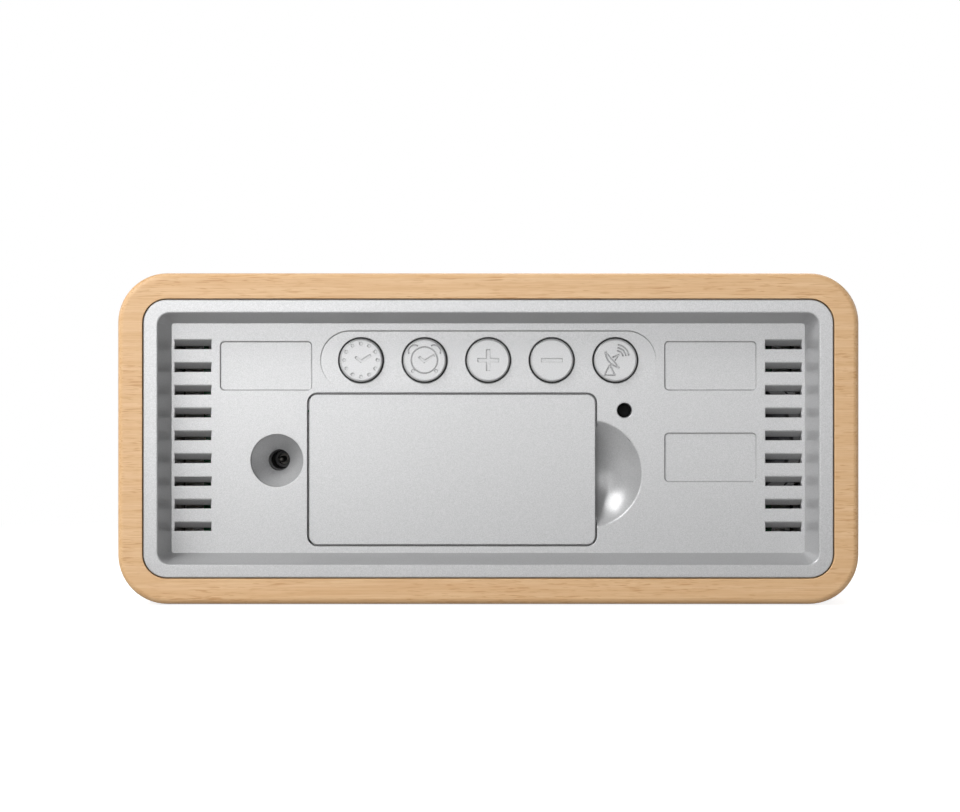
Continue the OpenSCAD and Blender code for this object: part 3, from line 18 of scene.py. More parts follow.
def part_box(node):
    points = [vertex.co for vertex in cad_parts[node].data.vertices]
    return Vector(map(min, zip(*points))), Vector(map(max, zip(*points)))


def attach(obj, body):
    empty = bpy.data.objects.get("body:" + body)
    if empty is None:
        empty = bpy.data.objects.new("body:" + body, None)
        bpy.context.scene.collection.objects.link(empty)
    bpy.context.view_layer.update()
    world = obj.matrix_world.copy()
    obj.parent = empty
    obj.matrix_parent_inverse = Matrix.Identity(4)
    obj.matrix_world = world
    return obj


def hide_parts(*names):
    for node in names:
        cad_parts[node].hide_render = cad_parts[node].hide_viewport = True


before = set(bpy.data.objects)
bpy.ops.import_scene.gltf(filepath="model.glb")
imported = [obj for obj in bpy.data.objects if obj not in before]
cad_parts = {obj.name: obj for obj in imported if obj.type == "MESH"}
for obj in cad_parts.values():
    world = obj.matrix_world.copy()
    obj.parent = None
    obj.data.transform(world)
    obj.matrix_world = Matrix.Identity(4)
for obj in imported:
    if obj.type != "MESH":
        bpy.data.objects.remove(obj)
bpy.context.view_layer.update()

MM = 0.001
LOG = logging.getLogger("clock")

# How far an edge's middle may lie from a plane, a fine face or a faceted outline that it belongs to
ON_PLANE = 0.05
ON_FINE = 0.02
ON_OUTLINE = 0.1
# Cosine of the widest angle between an edge and the axis that it runs along
STRAIGHT = 0.9
# Corner radius of the silver rings in both mouths
RING_CORNER = 4.75

Colour = tuple[float, float, float]
Points = np.ndarray
Shape = tuple[np.ndarray, np.ndarray]
Value = Union[float, Sequence[float], bpy.types.NodeSocket]


class Axis(Enum):
    """A direction that a turned form goes round, with the two directions across it."""

    X = ((1, 0, 0), (0, 1, 0), (0, 0, 1))
    Y = ((0, 1, 0), (0, 0, 1), (1, 0, 0))
    Z = ((0, 0, 1), (1, 0, 0), (0, 1, 0))


class Side(Enum):
    """Which way along an axis a piece points."""

    LOW = -1
    HIGH = 1


class Graph:
    """A material's nodes, added one call at a time."""

    def __init__(self, name: str) -> None:
        """Starts an empty material.

        Args:
            name: the material's name.
        """
        self.material = bpy.data.materials.new(name)
        self.material.use_nodes = True
        self.tree = self.material.node_tree
        self.tree.nodes.clear()
        self.place = self.node("TexCoord").outputs["Object"]

    def node(self, kind: str, inputs: Optional[dict[Union[str, int], Value]] = None,
             **settings: object) -> bpy.types.Node:
        """Adds a shader node.

        Args:
            kind: the node's type without the word ShaderNode.
            inputs: a value or another node's output for each input.
            settings: the node's own properties.

        Returns:
            The new node.
        """
        made = self.tree.nodes.new("ShaderNode" + kind)
        for key, value in settings.items():
            setattr(made, key, value)
        for key, value in (inputs or {}).items():
            if isinstance(value, bpy.types.NodeSocket):
                self.tree.links.new(value, made.inputs[key])
            else:
                made.inputs[key].default_value = value
        return made

    def along(self, sizes: Union[float, Sequence[float]], turn: Sequence[float] = (0, 0, 0),
              shift: Sequence[float] = (0, 0, 0)) -> bpy.types.NodeSocket:
        """Object coordinates counted in features of the given sizes.

        Args:
            sizes: a feature's size in millimetres, or its sizes along X, Y and Z.
            turn: how far the pattern is turned about X, Y and Z, in degrees.
            shift: how far the pattern is moved, in millimetres.

        Returns:
            The coordinates.
        """
        each = (sizes,) * 3 if isinstance(sizes, float) else sizes
        return self.node("Mapping", {
            "Vector": self.place, "Location": [s * MM for s in shift],
            "Rotation": [math.radians(t) for t in turn], "Scale": [s * MM for s in each],
        }, vector_type="TEXTURE").outputs[0]

    def noise(self, coords: bpy.types.NodeSocket, detail: float = 2, rough: float = 0.5,
              bend: float = 0) -> bpy.types.NodeSocket:
        """Smooth noise from 0 to 1 with features of size one.

        Args:
            coords: the coordinates that it follows.
            detail: how many finer layers it has.
            rough: how strong the finer layers are.
            bend: how far the noise distorts itself.

        Returns:
            The noise.
        """
        return self.node("TexNoise", {"Vector": coords, "Scale": 1.0, "Detail": detail,
                                      "Roughness": rough, "Distortion": bend}).outputs["Fac"]

    def spread(self, value: Value, low: float, high: float, to_low: float = 0.0,
               to_high: float = 1.0) -> bpy.types.NodeSocket:
        """Carries a range onto another with soft ends.

        Args:
            value: what is carried.
            low: start of the range.
            high: end of the range.
            to_low: what the start becomes.
            to_high: what the end becomes.

        Returns:
            The carried value.
        """
        return self.node("MapRange", {"Value": value, "From Min": low, "From Max": high,
                                      "To Min": to_low, "To Max": to_high},
                         interpolation_type="SMOOTHSTEP").outputs[0]

    def sum(self, kind: str, first: Value, second: Value) -> bpy.types.NodeSocket:
        """Joins two values.

        Args:
            kind: the operation's name, such as MULTIPLY.
            first: the first value.
            second: the second value.

        Returns:
            The result.
        """
        return self.node("Math", {0: first, 1: second}, operation=kind).outputs[0]

    def blend(self, share: Value, first: Value, second: Value,
              kind: str = "MIX") -> bpy.types.NodeSocket:
        """Blends two colours.

        Args:
            share: how much of the second colour shows.
            first: the first colour.
            second: the second colour.
            kind: the blending's name, such as MULTIPLY.

        Returns:
            The blended colour.
        """
        made = self.node("Mix", data_type="RGBA", blend_type=kind)
        for key, value in zip(("Factor_Float", "A_Color", "B_Color"), (share, first, second)):
            socket = next(s for s in made.inputs if s.identifier == key)
            if isinstance(value, bpy.types.NodeSocket):
                self.tree.links.new(value, socket)
            else:
                socket.default_value = value if key == "Factor_Float" else (*value, 1.0)
        return next(s for s in made.outputs if s.identifier == "Result_Color")

    def relief(self, height: bpy.types.NodeSocket, depth: float,
               under: Optional[bpy.types.NodeSocket] = None) -> bpy.types.NodeSocket:
        """Turns a height from 0 to 1 into a bumpy normal.

        Args:
            height: the height.
            depth: what a height of 1 stands for, in millimetres.
            under: a normal that it lies on.

        Returns:
            The normal.
        """
        inputs = {"Height": height, "Distance": depth * MM, "Strength": 1.0}
        if under is not None:
            inputs["Normal"] = under
        return self.node("Bump", inputs).outputs[0]

    def finish(self, colour: Value, **inputs: Value) -> bpy.types.Material:
        """Ends the material with its shader.

        Args:
            colour: the base colour.
            inputs: the shader's other inputs, with _ for a space in their names.

        Returns:
            The material.
        """
        named = {key.replace("_", " "): value for key, value in inputs.items()}
        named["Base Color"] = colour if isinstance(colour, bpy.types.NodeSocket) else (*colour, 1.0)
        for key in ("Coat Tint", "Sheen Tint", "Emission Color", "Specular Tint"):
            if key in named and not isinstance(named[key], bpy.types.NodeSocket):
                named[key] = (*named[key], 1.0)
        shader = self.node("BsdfPrincipled", named)
        self.node("OutputMaterial", {"Surface": shader.outputs[0]})
        return self.material


@dataclass(frozen=True)
class Finish:
    """What a surface is made of. Each kind of finish draws its own nodes."""

    name: str
    slot: str

    def nodes(self) -> bpy.types.Material:
        """Builds the material.

        Returns:
            The material.
        """
        raise NotImplementedError

    def material(self) -> bpy.types.Material:
        """The material, which is built at its first use.

        Returns:
            The material.
        """
        made = bpy.data.materials.get(self.name)
        return made if made is not None else self.nodes()


@dataclass(frozen=True)
class Beech(Finish):
    """Lacquered beech with its grain along X: short dark rays on pale, faintly banded wood.

    The growth rings go round the pith, a line along X, so they're bands on the long sides and arcs on
    the ends.
    """

    pale: Colour = (0.76, 0.515, 0.287)
    warm: Colour = (0.665, 0.405, 0.197)
    ray: Colour = (0.50, 0.25, 0.092)
    ring: float = 1.5
    pith: Sequence[float] = (0.0, 60.0, -120.0)

    def nodes(self) -> bpy.types.Material:
        """Builds the material.

        Returns:
            The material.
        """
        g = Graph(self.name)
        drift = g.noise(g.along((55, 12, 12)), detail=2, rough=0.5)
        reach = g.node("VectorMath", {0: g.along((1e6, self.ring, self.ring), shift=self.pith)},
                       operation="LENGTH").outputs["Value"]
        rings = g.sum("PINGPONG", g.sum("ADD", reach, g.sum("MULTIPLY", drift, 4.0)), 1.0)
        bands = g.noise(g.along((24, 1.3, 1.0), turn=(0, 1.0, 1.0)), detail=3, rough=0.6, bend=0.3)
        tone = g.blend(g.spread(rings, 0.25, 0.95, 0.15, 0.5), self.pale, self.warm)
        tone = g.blend(g.spread(bands, 0.4, 0.7, 0, 0.6), tone, self.warm)
        fibre = g.noise(g.along((14, 0.2, 0.2), turn=(0, 0, 0.5)), detail=3, rough=0.6)
        tone = g.blend(g.spread(fibre, 0.3, 0.7, 0.0, 0.3), tone, self.ray)
        rays = None
        for length, thick, turn, shift, low in ((5.2, 0.32, 1.2, 0, 0.58), (3.2, 0.24, -1.6, 40, 0.59)):
            spots = g.noise(g.along((length, thick, thick), turn=(0, turn, turn), shift=(shift,) * 3),
                            detail=1.5, rough=0.45, bend=0.25)
            mask = g.spread(spots, low, low + 0.14)
            rays = mask if rays is None else g.sum("MAXIMUM", rays, mask)
        crowd = g.spread(g.noise(g.along((26, 6, 5), shift=(7, 3, 5)), detail=1), 0.38, 0.58, 0.35, 1.0)
        rays = g.sum("MULTIPLY", rays, crowd)
        tone = g.blend(g.sum("MULTIPLY", rays, 0.7), tone, self.ray)
        pores = g.sum("ADD", g.sum("MULTIPLY", rays, -0.6), fibre)
        return g.finish(tone, Roughness=g.spread(fibre, 0.3, 0.7, 0.44, 0.54), IOR=1.5,
                        Specular_IOR_Level=0.42, Coat_Weight=0.12, Coat_Roughness=0.3,
                        Normal=g.relief(pores, 0.012))


@dataclass(frozen=True)
class SilverPaint(Finish):
    """Satin silver paint over moulded plastic: a fine metallic fleck under a thin clear skin.

    The paint softens every edge a little. Narrow gaps and inner corners get painted shade: they
    darken towards the unpainted colour. It is sprayed from outside, so past a distance from the middle
    along X, and below a place along Y, the moulding shows unpainted; that dark moulding also stands in
    for the shade inside slots and key gaps.
    """

    base: Colour = (0.445, 0.447, 0.452)
    metallic: float = 0.25
    roughness: float = 0.32
    fleck: float = 0.16
    coat: float = 0.3
    edge: float = 0.1
    shade: float = 0.7
    # Unpainted moulding colour and where it shows; the colour also serves as painted shade in gaps and
    # corners
    bare_and_shade: Colour = (0.012, 0.012, 0.013)
    bare_and_shade_past: Sequence[float] = (1000.0, 0.0)

    def nodes(self) -> bpy.types.Material:
        """Builds the material.

        Returns:
            The material.
        """
        g = Graph(self.name)
        flecks = g.noise(g.along(self.fleck), detail=2, rough=0.65)
        skin = g.noise(g.along(1.6), detail=2)
        light = tuple(min(1.0, c * 1.13) for c in self.base)
        dark = tuple(c * 0.89 for c in self.base)
        tone = g.blend(g.spread(flecks, 0.33, 0.67), dark, light)
        soft = g.node("Bevel", {"Radius": self.edge * MM}, samples=6).outputs[0]
        normal = g.relief(skin, 0.004, g.relief(flecks, 0.0035, soft))
        # Unpainted moulding past these places, which also stands in for the shade in slots and key gaps
        place = g.node("SeparateXYZ", {"Vector": g.along(1.0)}).outputs
        out = g.spread(g.sum("ABSOLUTE", place["X"], 0.0), self.bare_and_shade_past[0], self.bare_and_shade_past[0] + 0.1)
        low = g.spread(place["Y"], self.bare_and_shade_past[1] - 0.1, self.bare_and_shade_past[1], 1.0, 0.0)
        painted = g.sum("SUBTRACT", 1.0, g.sum("MULTIPLY", out, low))
        tone = g.blend(painted, self.bare_and_shade, tone)
        # Painted shade: ambient occlusion darkens narrow gaps and inner corners towards the dark colour
        corner = g.node("AmbientOcclusion", {"Distance": self.shade * MM}, samples=8).outputs["AO"]
        tone = g.blend(g.spread(corner, 0.12, 0.64, 1.0, 0.0), tone, self.bare_and_shade)
        metallic, coat = (g.sum("MULTIPLY", painted, v) for v in (self.metallic, self.coat))
        return g.finish(tone, Metallic=metallic, Roughness=self.roughness, IOR=1.48,
                        Coat_Weight=coat, Coat_Roughness=0.2, Normal=normal)


@dataclass(frozen=True)
class Moulded(Finish):
    """Moulded plastic, rubber, card or foam with a spark-eroded grain."""

    base: Colour = (0.03, 0.03, 0.032)
    roughness: float = 0.45
    grain: float = 0.35
    depth: float = 0.01
    contrast: float = 0.08
    sheen: float = 0.0
    coat: float = 0.0

    def nodes(self) -> bpy.types.Material:
        """Builds the material.

        Returns:
            The material.
        """
        g = Graph(self.name)
        fine = g.noise(g.along(self.grain), detail=3, rough=0.6)
        broad = g.noise(g.along(6.0), detail=2)
        light = tuple(min(1.0, c * (1 + self.contrast) + 0.01) for c in self.base)
        dark = tuple(c * (1 - self.contrast) for c in self.base)
        tone = g.blend(g.spread(broad, 0.3, 0.7), dark, light)
        tone = g.blend(g.spread(fine, 0.4, 0.75, 0.0, 0.5), tone, dark)
        rough = g.spread(fine, 0.3, 0.7, max(0.02, self.roughness - 0.05), self.roughness + 0.05)
        return g.finish(tone, Roughness=rough, IOR=1.48, Sheen_Weight=self.sheen,
                        Sheen_Roughness=0.4, Coat_Weight=self.coat, Coat_Roughness=0.12,
                        Normal=g.relief(fine, self.depth))


@dataclass(frozen=True)
class Plated(Finish):
    """Metal with fine marks drawn along one direction."""

    base: Colour = (0.62, 0.62, 0.63)
    roughness: float = 0.3
    marks: Sequence[float] = (3.0, 0.08, 0.08)
    metallic: float = 1.0

    def nodes(self) -> bpy.types.Material:
        """Builds the material.

        Returns:
            The material.
        """
        g = Graph(self.name)
        drawn = g.noise(g.along(self.marks), detail=3, rough=0.6)
        stain = g.noise(g.along(5.0), detail=3)
        dark = tuple(c * 0.72 for c in self.base)
        tone = g.blend(g.spread(stain, 0.45, 0.75, 0.0, 0.6), self.base, dark)
        rough = g.spread(drawn, 0.3, 0.7, max(0.05, self.roughness - 0.08), self.roughness + 0.1)
        return g.finish(tone, Metallic=self.metallic, Roughness=rough,
                        Normal=g.relief(drawn, 0.004))


@dataclass(frozen=True)
class Clear(Finish):
    """Polished clear or smoked plastic and glass."""

    tint: Colour = (0.95, 0.96, 0.97)
    ior: float = 1.49
    roughness: float = 0.03
    through: float = 1.0

    def nodes(self) -> bpy.types.Material:
        """Builds the material.

        Returns:
            The material.
        """
        g = Graph(self.name)
        haze = g.noise(g.along(9.0), detail=2)
        rough = g.spread(haze, 0.3, 0.7, self.roughness * 0.6, self.roughness * 1.4)
        tone = g.blend(g.spread(haze, 0.3, 0.7, 0.0, 0.12), self.tint, (0.5, 0.5, 0.5), "MULTIPLY")
        return g.finish(tone, Roughness=rough, IOR=self.ior, Transmission_Weight=self.through,
                        Normal=g.relief(haze, 0.003))


@dataclass(frozen=True)
class Window(Clear):
    """Smoked sheet whose back is printed black round a clear field in the middle."""

    field_size: Sequence[float] = (112.0, 38.0)
    middle_z: float = 33.8
    ink: Colour = (0.003, 0.003, 0.0035)

    def nodes(self) -> bpy.types.Material:
        """Builds the material.

        Returns:
            The material.
        """
        g = Graph(self.name)
        place = g.node("SeparateXYZ", {"Vector": g.along(1.0, shift=(0, 0, self.middle_z))}).outputs
        out = [g.spread(g.sum("ABSOLUTE", place[key], 0.0), size / 2, size / 2 + 0.1)
               for key, size in zip("XZ", self.field_size)]
        printed = g.sum("MAXIMUM", *out)
        haze = g.noise(g.along(9.0), detail=2)
        rough = g.spread(haze, 0.3, 0.7, self.roughness * 0.6, self.roughness * 1.4)
        return g.finish(g.blend(printed, self.tint, self.ink), Roughness=rough, IOR=self.ior,
                        Transmission_Weight=g.sum("SUBTRACT", self.through, printed),
                        Normal=g.relief(haze, 0.003))


@dataclass(frozen=True)
class Lit(Finish):
    """Display figures and lamps that glow by themselves, and resting figures with a faint painted glow.
    """

    glow: Colour = (1.0, 0.93, 0.78)
    strength: float = 1.0
    base: Colour = (0.9, 0.86, 0.7)

    def nodes(self) -> bpy.types.Material:
        """Builds the material.

        Returns:
            The material.
        """
        g = Graph(self.name)
        uneven = g.noise(g.along(12.0), detail=1)
        dim = tuple(c * 0.86 for c in self.glow)
        glow = g.blend(g.spread(uneven, 0.3, 0.7), self.glow, dim)
        return g.finish(self.base, Roughness=0.4, Emission_Color=glow,
                        Emission_Strength=self.strength)


@dataclass(frozen=True)
class Board(Finish):
    """Circuit board: green lacquer over copper tracks that run square to each other."""

    lacquer: Colour = (0.012, 0.115, 0.045)
    track: Colour = (0.03, 0.22, 0.085)
    pad: Colour = (0.62, 0.58, 0.47)
    pitch: float = 1.9

    def nodes(self) -> bpy.types.Material:
        """Builds the material.

        Returns:
            The material.
        """
        g = Graph(self.name)
        lanes = g.node("TexBrick", {
            "Vector": g.along(self.pitch * 3.2, turn=(90, 0, 0)), "Scale": 1.0,
            "Mortar Size": 0.055, "Mortar Smooth": 0.2, "Brick Width": 1.7, "Row Height": 0.31,
            "Color1": (*self.lacquer, 1.0), "Color2": (*self.lacquer, 1.0),
            "Mortar": (*self.track, 1.0)}, offset=0.37)
        dots = g.node("TexVoronoi", {"Vector": g.along(self.pitch), "Scale": 1.0,
                                     "Randomness": 0.55}).outputs["Distance"]
        pads = g.spread(dots, 0.16, 0.2, 1.0, 0.0)
        tone = g.blend(pads, lanes.outputs["Color"], self.pad)
        height = g.sum("ADD", lanes.outputs["Fac"], pads)
        return g.finish(tone, Roughness=g.spread(pads, 0, 1, 0.24, 0.38), IOR=1.5,
                        Coat_Weight=0.4, Coat_Roughness=0.08, Normal=g.relief(height, 0.02))


@dataclass(frozen=True)
class Sleeve(Finish):
    """Printed foil round a cell: two plain colours that meet at a fixed place along X."""

    body: Colour = (0.035, 0.085, 0.17)
    band: Colour = (0.62, 0.64, 0.66)
    edge: float = 0.0
    band_side: Side = Side.HIGH

    def nodes(self) -> bpy.types.Material:
        """Builds the material.

        Returns:
            The material.
        """
        g = Graph(self.name)
        x = g.node("SeparateXYZ", {"Vector": g.place}).outputs["X"]
        low, high = (self.edge - 0.04) * MM, (self.edge + 0.04) * MM
        ends = (0.0, 1.0) if self.band_side is Side.HIGH else (1.0, 0.0)
        share = g.spread(x, low, high, *ends)
        wear = g.noise(g.along((4.0, 1.2, 1.2)), detail=3)
        tone = g.blend(share, self.body, self.band)
        tone = g.blend(g.spread(wear, 0.55, 0.8, 0.0, 0.2), tone, (0.3, 0.31, 0.33))
        return g.finish(tone, Metallic=g.spread(share, 0, 1, 0.25, 0.85),
                        Roughness=g.spread(wear, 0.3, 0.7, 0.2, 0.3), Coat_Weight=0.6,
                        Coat_Roughness=0.06, Normal=g.relief(wear, 0.01))


@dataclass(frozen=True)
class Layered(Finish):
    """Rubber connector or flat cable: thin lanes of two colours side by side along X."""

    first: Colour = (0.62, 0.62, 0.60)
    second: Colour = (0.05, 0.05, 0.055)
    lane: float = 0.6
    share: float = 0.5
    roughness: float = 0.55

    def nodes(self) -> bpy.types.Material:
        """Builds the material.

        Returns:
            The material.
        """
        g = Graph(self.name)
        x = g.node("SeparateXYZ", {"Vector": g.along(self.lane)}).outputs["X"]
        beat = g.sum("PINGPONG", x, 0.5)
        lanes = g.spread(beat, self.share * 0.5 - 0.04, self.share * 0.5 + 0.04)
        fine = g.noise(g.along(0.3), detail=2)
        tone = g.blend(lanes, self.first, self.second)
        tone = g.blend(g.spread(fine, 0.4, 0.8, 0.0, 0.25), tone, self.second)
        return g.finish(tone, Roughness=self.roughness, IOR=1.45, Normal=g.relief(lanes, 0.05))


BEECH = Beech("lacquered_beech", "beech")
SILVER = SilverPaint("satin_silver", "silver_plastic")
# Unpainted black inside past the louvres, which also stands in for the shade seen through the slots
REAR_SILVER = SilverPaint("rear_silver", "silver_plastic", bare_and_shade_past=(52.0, 15.5))
KEY_SILVER = SilverPaint("key_silver", "silver_plastic", base=(0.465, 0.467, 0.472), edge=0.13,
                         shade=0.35)
# Unpainted black on each key below its cap, which also paints the shade in the gap round the key
REAR_KEY_SILVER = replace(KEY_SILVER, name="rear_key_silver", bare_and_shade_past=(-1.0, 17.3))
SMOKED = Window("smoked_acrylic", "smoked_window", tint=(0.33, 0.33, 0.345), roughness=0.02)
DISPLAY = Moulded("display_black", "display_glass", base=(0.006, 0.007, 0.009), roughness=0.12,
                  grain=2.0, depth=0.001, coat=1.0)
FIGURES = Lit("lit_figures", "lamp", strength=4.2)
# Painted glow: the resting segments give off a faint light of their own, though nothing lights them
RESTING_PAINTED_GLOW = Lit("resting_figures_painted_glow", "display_glass", glow=(0.75, 0.8, 0.9), strength=0.03,
             base=(0.02, 0.02, 0.024))
OPTIC = Clear("polished_lens", "clear_plastic", ior=1.52, roughness=0.01)
GUIDE = Clear("light_guide_acrylic", "clear_plastic", tint=(0.9, 0.93, 0.95), roughness=0.12)
FOAM = Moulded("black_foam", "black_foam", base=(0.03, 0.03, 0.03), roughness=0.9, grain=0.25,
               depth=0.12, sheen=0.2)
STRIP = Layered("connector_rubber", "black_foam", lane=0.5)
WHITE = Moulded("white_moulding", "white_plastic", base=(0.78, 0.78, 0.76), roughness=0.42,
                depth=0.008, contrast=0.03)
BLACK = Moulded("black_moulding", "black_plastic", base=(0.022, 0.022, 0.024), roughness=0.4)
# The reset key's own black, made near-pure black without gloss as painted shade for its deep hole
RESET_SHADE_BLACK = Moulded("matt_black_hole_shade", "black_plastic", base=(0.0015, 0.0015, 0.0015), roughness=1.0)
BOARD = Board("green_board", "circuit_board")
STEEL = Plated("zinc_steel", "steel")
PAINTED = Moulded("black_painted_steel", "steel", base=(0.02, 0.02, 0.021), roughness=0.38)
NICKEL = Plated("nickel_strip", "spring_steel", base=(0.74, 0.73, 0.70), roughness=0.2)
FERRITE = Moulded("sintered_ferrite", "ferrite", base=(0.05, 0.05, 0.052), roughness=0.55, grain=0.5,
                  depth=0.03, contrast=0.25)
MAGNET = Plated("zinc_cup", "magnet_steel", base=(0.56, 0.57, 0.60), roughness=0.24, marks=(0.4,) * 3)
ENAMEL = Plated("enamelled_copper", "copper_wire", base=(0.62, 0.27, 0.11), roughness=0.22)
PIN = Plated("dull_plate", "gold_contact", base=(0.13, 0.125, 0.115), roughness=0.5,
             marks=(0.08, 2.0, 0.08))
PAPER = Moulded("pressed_paper", "paper_cone", base=(0.045, 0.045, 0.05), roughness=0.85, grain=0.4,
                depth=0.06, sheen=0.3)
PAD = Moulded("soft_pad", "soft_pad", base=(0.62, 0.62, 0.60), roughness=0.6, depth=0.02)
LEAD = Moulded("lead_cover", "lead_cover", base=(0.36, 0.02, 0.015), roughness=0.42, depth=0.01)
LAMP = Lit("lamp_lens", "lamp", strength=0.6)
RIBBON = Layered("flat_cable", "white_plastic", first=(0.55, 0.55, 0.56), second=(0.2, 0.2, 0.21),
                 lane=1.27, share=0.2)


def place_grid(rows: int, cols: int, round_rows: bool = False, round_cols: bool = True) -> np.ndarray:
    """Quads of a grid whose points run row after row.

    Args:
        rows: number of rows.
        cols: number of points in a row.
        round_rows: whether the last row joins the first.
        round_cols: whether a row's last point joins its first.

    Returns:
        Four point numbers a face.
    """
    i = np.arange(rows if round_rows else rows - 1)[:, None]
    j = np.arange(cols if round_cols else cols - 1)[None, :]
    k, n = (i + 1) % rows, (j + 1) % cols
    quads = np.stack([i * cols + j, i * cols + n, k * cols + n, k * cols + j], axis=-1)
    return quads.reshape(-1, 4)


def turned(profile: Sequence[Sequence[float]], axis: Axis, centre: Sequence[float],
           steps: int = 64) -> Shape:
    """A profile turned round an axis.

    Point (i, t) is centre + along_i * axis + radius_i * (cos t * u + sin t * v).

    Args:
        profile: radius and place along the axis of each point, from one pole to the other.
        axis: the axis that it goes round.
        centre: where the axis starts, in millimetres.
        steps: number of steps round the axis.

    Returns:
        Points and faces.
    """
    a, u, v = (np.array(d, float) for d in axis.value)
    p = np.array(profile, float)
    t = np.linspace(0, 2 * math.pi, steps, endpoint=False)
    ring = np.cos(t)[:, None] * u + np.sin(t)[:, None] * v
    points = np.array(centre, float) + p[:, 1, None, None] * a + p[:, 0, None, None] * ring
    return points.reshape(-1, 3), place_grid(len(p), steps)


def round_corner(r0: float, s0: float, r1: float, s1: float, steps: int = 5) -> np.ndarray:
    """Quarter of an ellipse from (r0, s0) to (r1, s1) that leaves along the first number.

    Point t is (r0 + (r1 - r0) sin t, s0 + (s1 - s0) (1 - cos t)) with t from 0 to 90 degrees.

    Args:
        r0: radius at the start.
        s0: place at the start.
        r1: radius at the end.
        s1: place at the end.
        steps: number of steps.

    Returns:
        The points of the profile.
    """
    t = np.linspace(0, math.pi / 2, steps + 1)
    return np.stack([r0 + (r1 - r0) * np.sin(t), s0 + (s1 - s0) * (1 - np.cos(t))], axis=-1)


def tube(path: Points, radius: Union[float, np.ndarray], sides: int = 10) -> Shape:
    """A round tube along a path, closed at both ends.

    Point (i, t) is path_i + r_i * (cos t * a_i + sin t * b_i), where a_i and b_i lie square to the path.

    Args:
        path: points of the path, in millimetres.
        radius: radius along the path.
        sides: number of sides.

    Returns:
        Points and faces.
    """
    ahead = np.gradient(path, axis=0)
    ahead /= np.linalg.norm(ahead, axis=1, keepdims=True)
    guide = np.where(np.abs(ahead[:, :1]) > np.abs(ahead[:, 2:]), [[0.0, 0.0, 1.0]], [[1.0, 0.0, 0.0]])
    a = np.cross(ahead, guide)
    a /= np.linalg.norm(a, axis=1, keepdims=True)
    b = np.cross(ahead, a)
    t = np.linspace(0, 2 * math.pi, sides, endpoint=False)
    r = np.broadcast_to(np.asarray(radius, float), (len(path),))[:, None, None]
    ring = np.cos(t)[None, :, None] * a[:, None] + np.sin(t)[None, :, None] * b[:, None]
    rings = path[:, None] + r * ring
    ends = [np.repeat(path[k:k + 1, None], sides, axis=1) for k in (0, len(path) - 1)]
    rings = np.concatenate([ends[0], rings, ends[1]])
    return rings.reshape(-1, 3), place_grid(len(rings), sides)


def stadium(half_length: float, radius: float, count: int) -> tuple[np.ndarray, np.ndarray]:
    """Outline with two straight sides and two half-round ends.

    A point is the nearest point of the middle line plus radius times (cos t, sin t).

    Args:
        half_length: half the length of the middle line.
        radius: radius of the ends.
        count: number of points.

    Returns:
        Points on the middle line and directions away from it, both in two dimensions.
    """
    arc = np.linspace(-math.pi / 2, math.pi / 2, count // 4 + 1)
    run = np.linspace(1, -1, count // 4 + 1)[1:-1]
    turn = np.concatenate([arc, np.full(run.shape, math.pi / 2), arc + math.pi,
                           np.full(run.shape, -math.pi / 2)])
    line = np.concatenate([np.ones(arc.shape), run, -np.ones(arc.shape), -run]) * half_length
    away = np.stack([np.cos(turn), np.sin(turn)], axis=-1)
    return np.stack([line, np.zeros(line.shape)], axis=-1), away


def prism(outline: np.ndarray, low: float, high: float, ease: float = 0.0) -> Shape:
    """A flat form that stands up from y = high to y = low, with an eased front edge.

    The outline in X and Z is drawn towards its middle by the ease at the front.

    Args:
        outline: points of a convex outline in X and Z, in millimetres.
        low: the front, which faces -Y.
        high: the back.
        ease: how far the front edge is drawn in.

    Returns:
        Points and faces.
    """
    centre = outline.mean(axis=0)
    reach = np.linalg.norm(outline - centre, axis=1, keepdims=True)
    inner = centre + (outline - centre) * (1 - ease / reach)
    rings = [(centre + 0 * outline, high), (outline, high), (outline, low + ease / 2), (inner, low),
             (centre + 0 * outline, low)]
    points = [np.stack([r[:, 0], np.full(len(r), y), r[:, 1]], axis=-1) for r, y in rings]
    return np.concatenate(points), place_grid(len(rings), len(outline))


def span(node: str) -> tuple[np.ndarray, np.ndarray]:
    """Lowest and highest corner of a frame node's box.

    Args:
        node: the frame node.

    Returns:
        Both corners, in millimetres.
    """
    low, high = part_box(node)
    return np.array(low) / MM, np.array(high) / MM


def middle(node: str) -> np.ndarray:
    """Middle of a frame node's box.

    Args:
        node: the frame node.

    Returns:
        The point, in millimetres.
    """
    low, high = span(node)
    return (low + high) / 2


def add_object(name: str, data: bpy.types.ID) -> bpy.types.Object:
    """Puts a new object into the scene.

    Args:
        name: the object's name.
        data: its mesh, lamp or camera.

    Returns:
        The object.
    """
    made = bpy.data.objects.new(name, data)
    bpy.context.scene.collection.objects.link(made)
    return made


def settle(piece: bpy.types.Object, finish: Finish, body: str, nodes: Sequence[str]) -> None:
    """Gives a piece its finish, its body and the nodes that it stands for, and reports it.

    Args:
        piece: the piece.
        finish: its finish.
        body: the body that it moves with.
        nodes: the frame nodes that it stands for.
    """
    piece.data.materials.clear()
    piece.data.materials.append(finish.material())
    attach(piece, body)
    if nodes:
        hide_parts(*nodes)
    LOG.info("%s: %d faces, %s", piece.name, len(piece.data.polygons), finish.name)


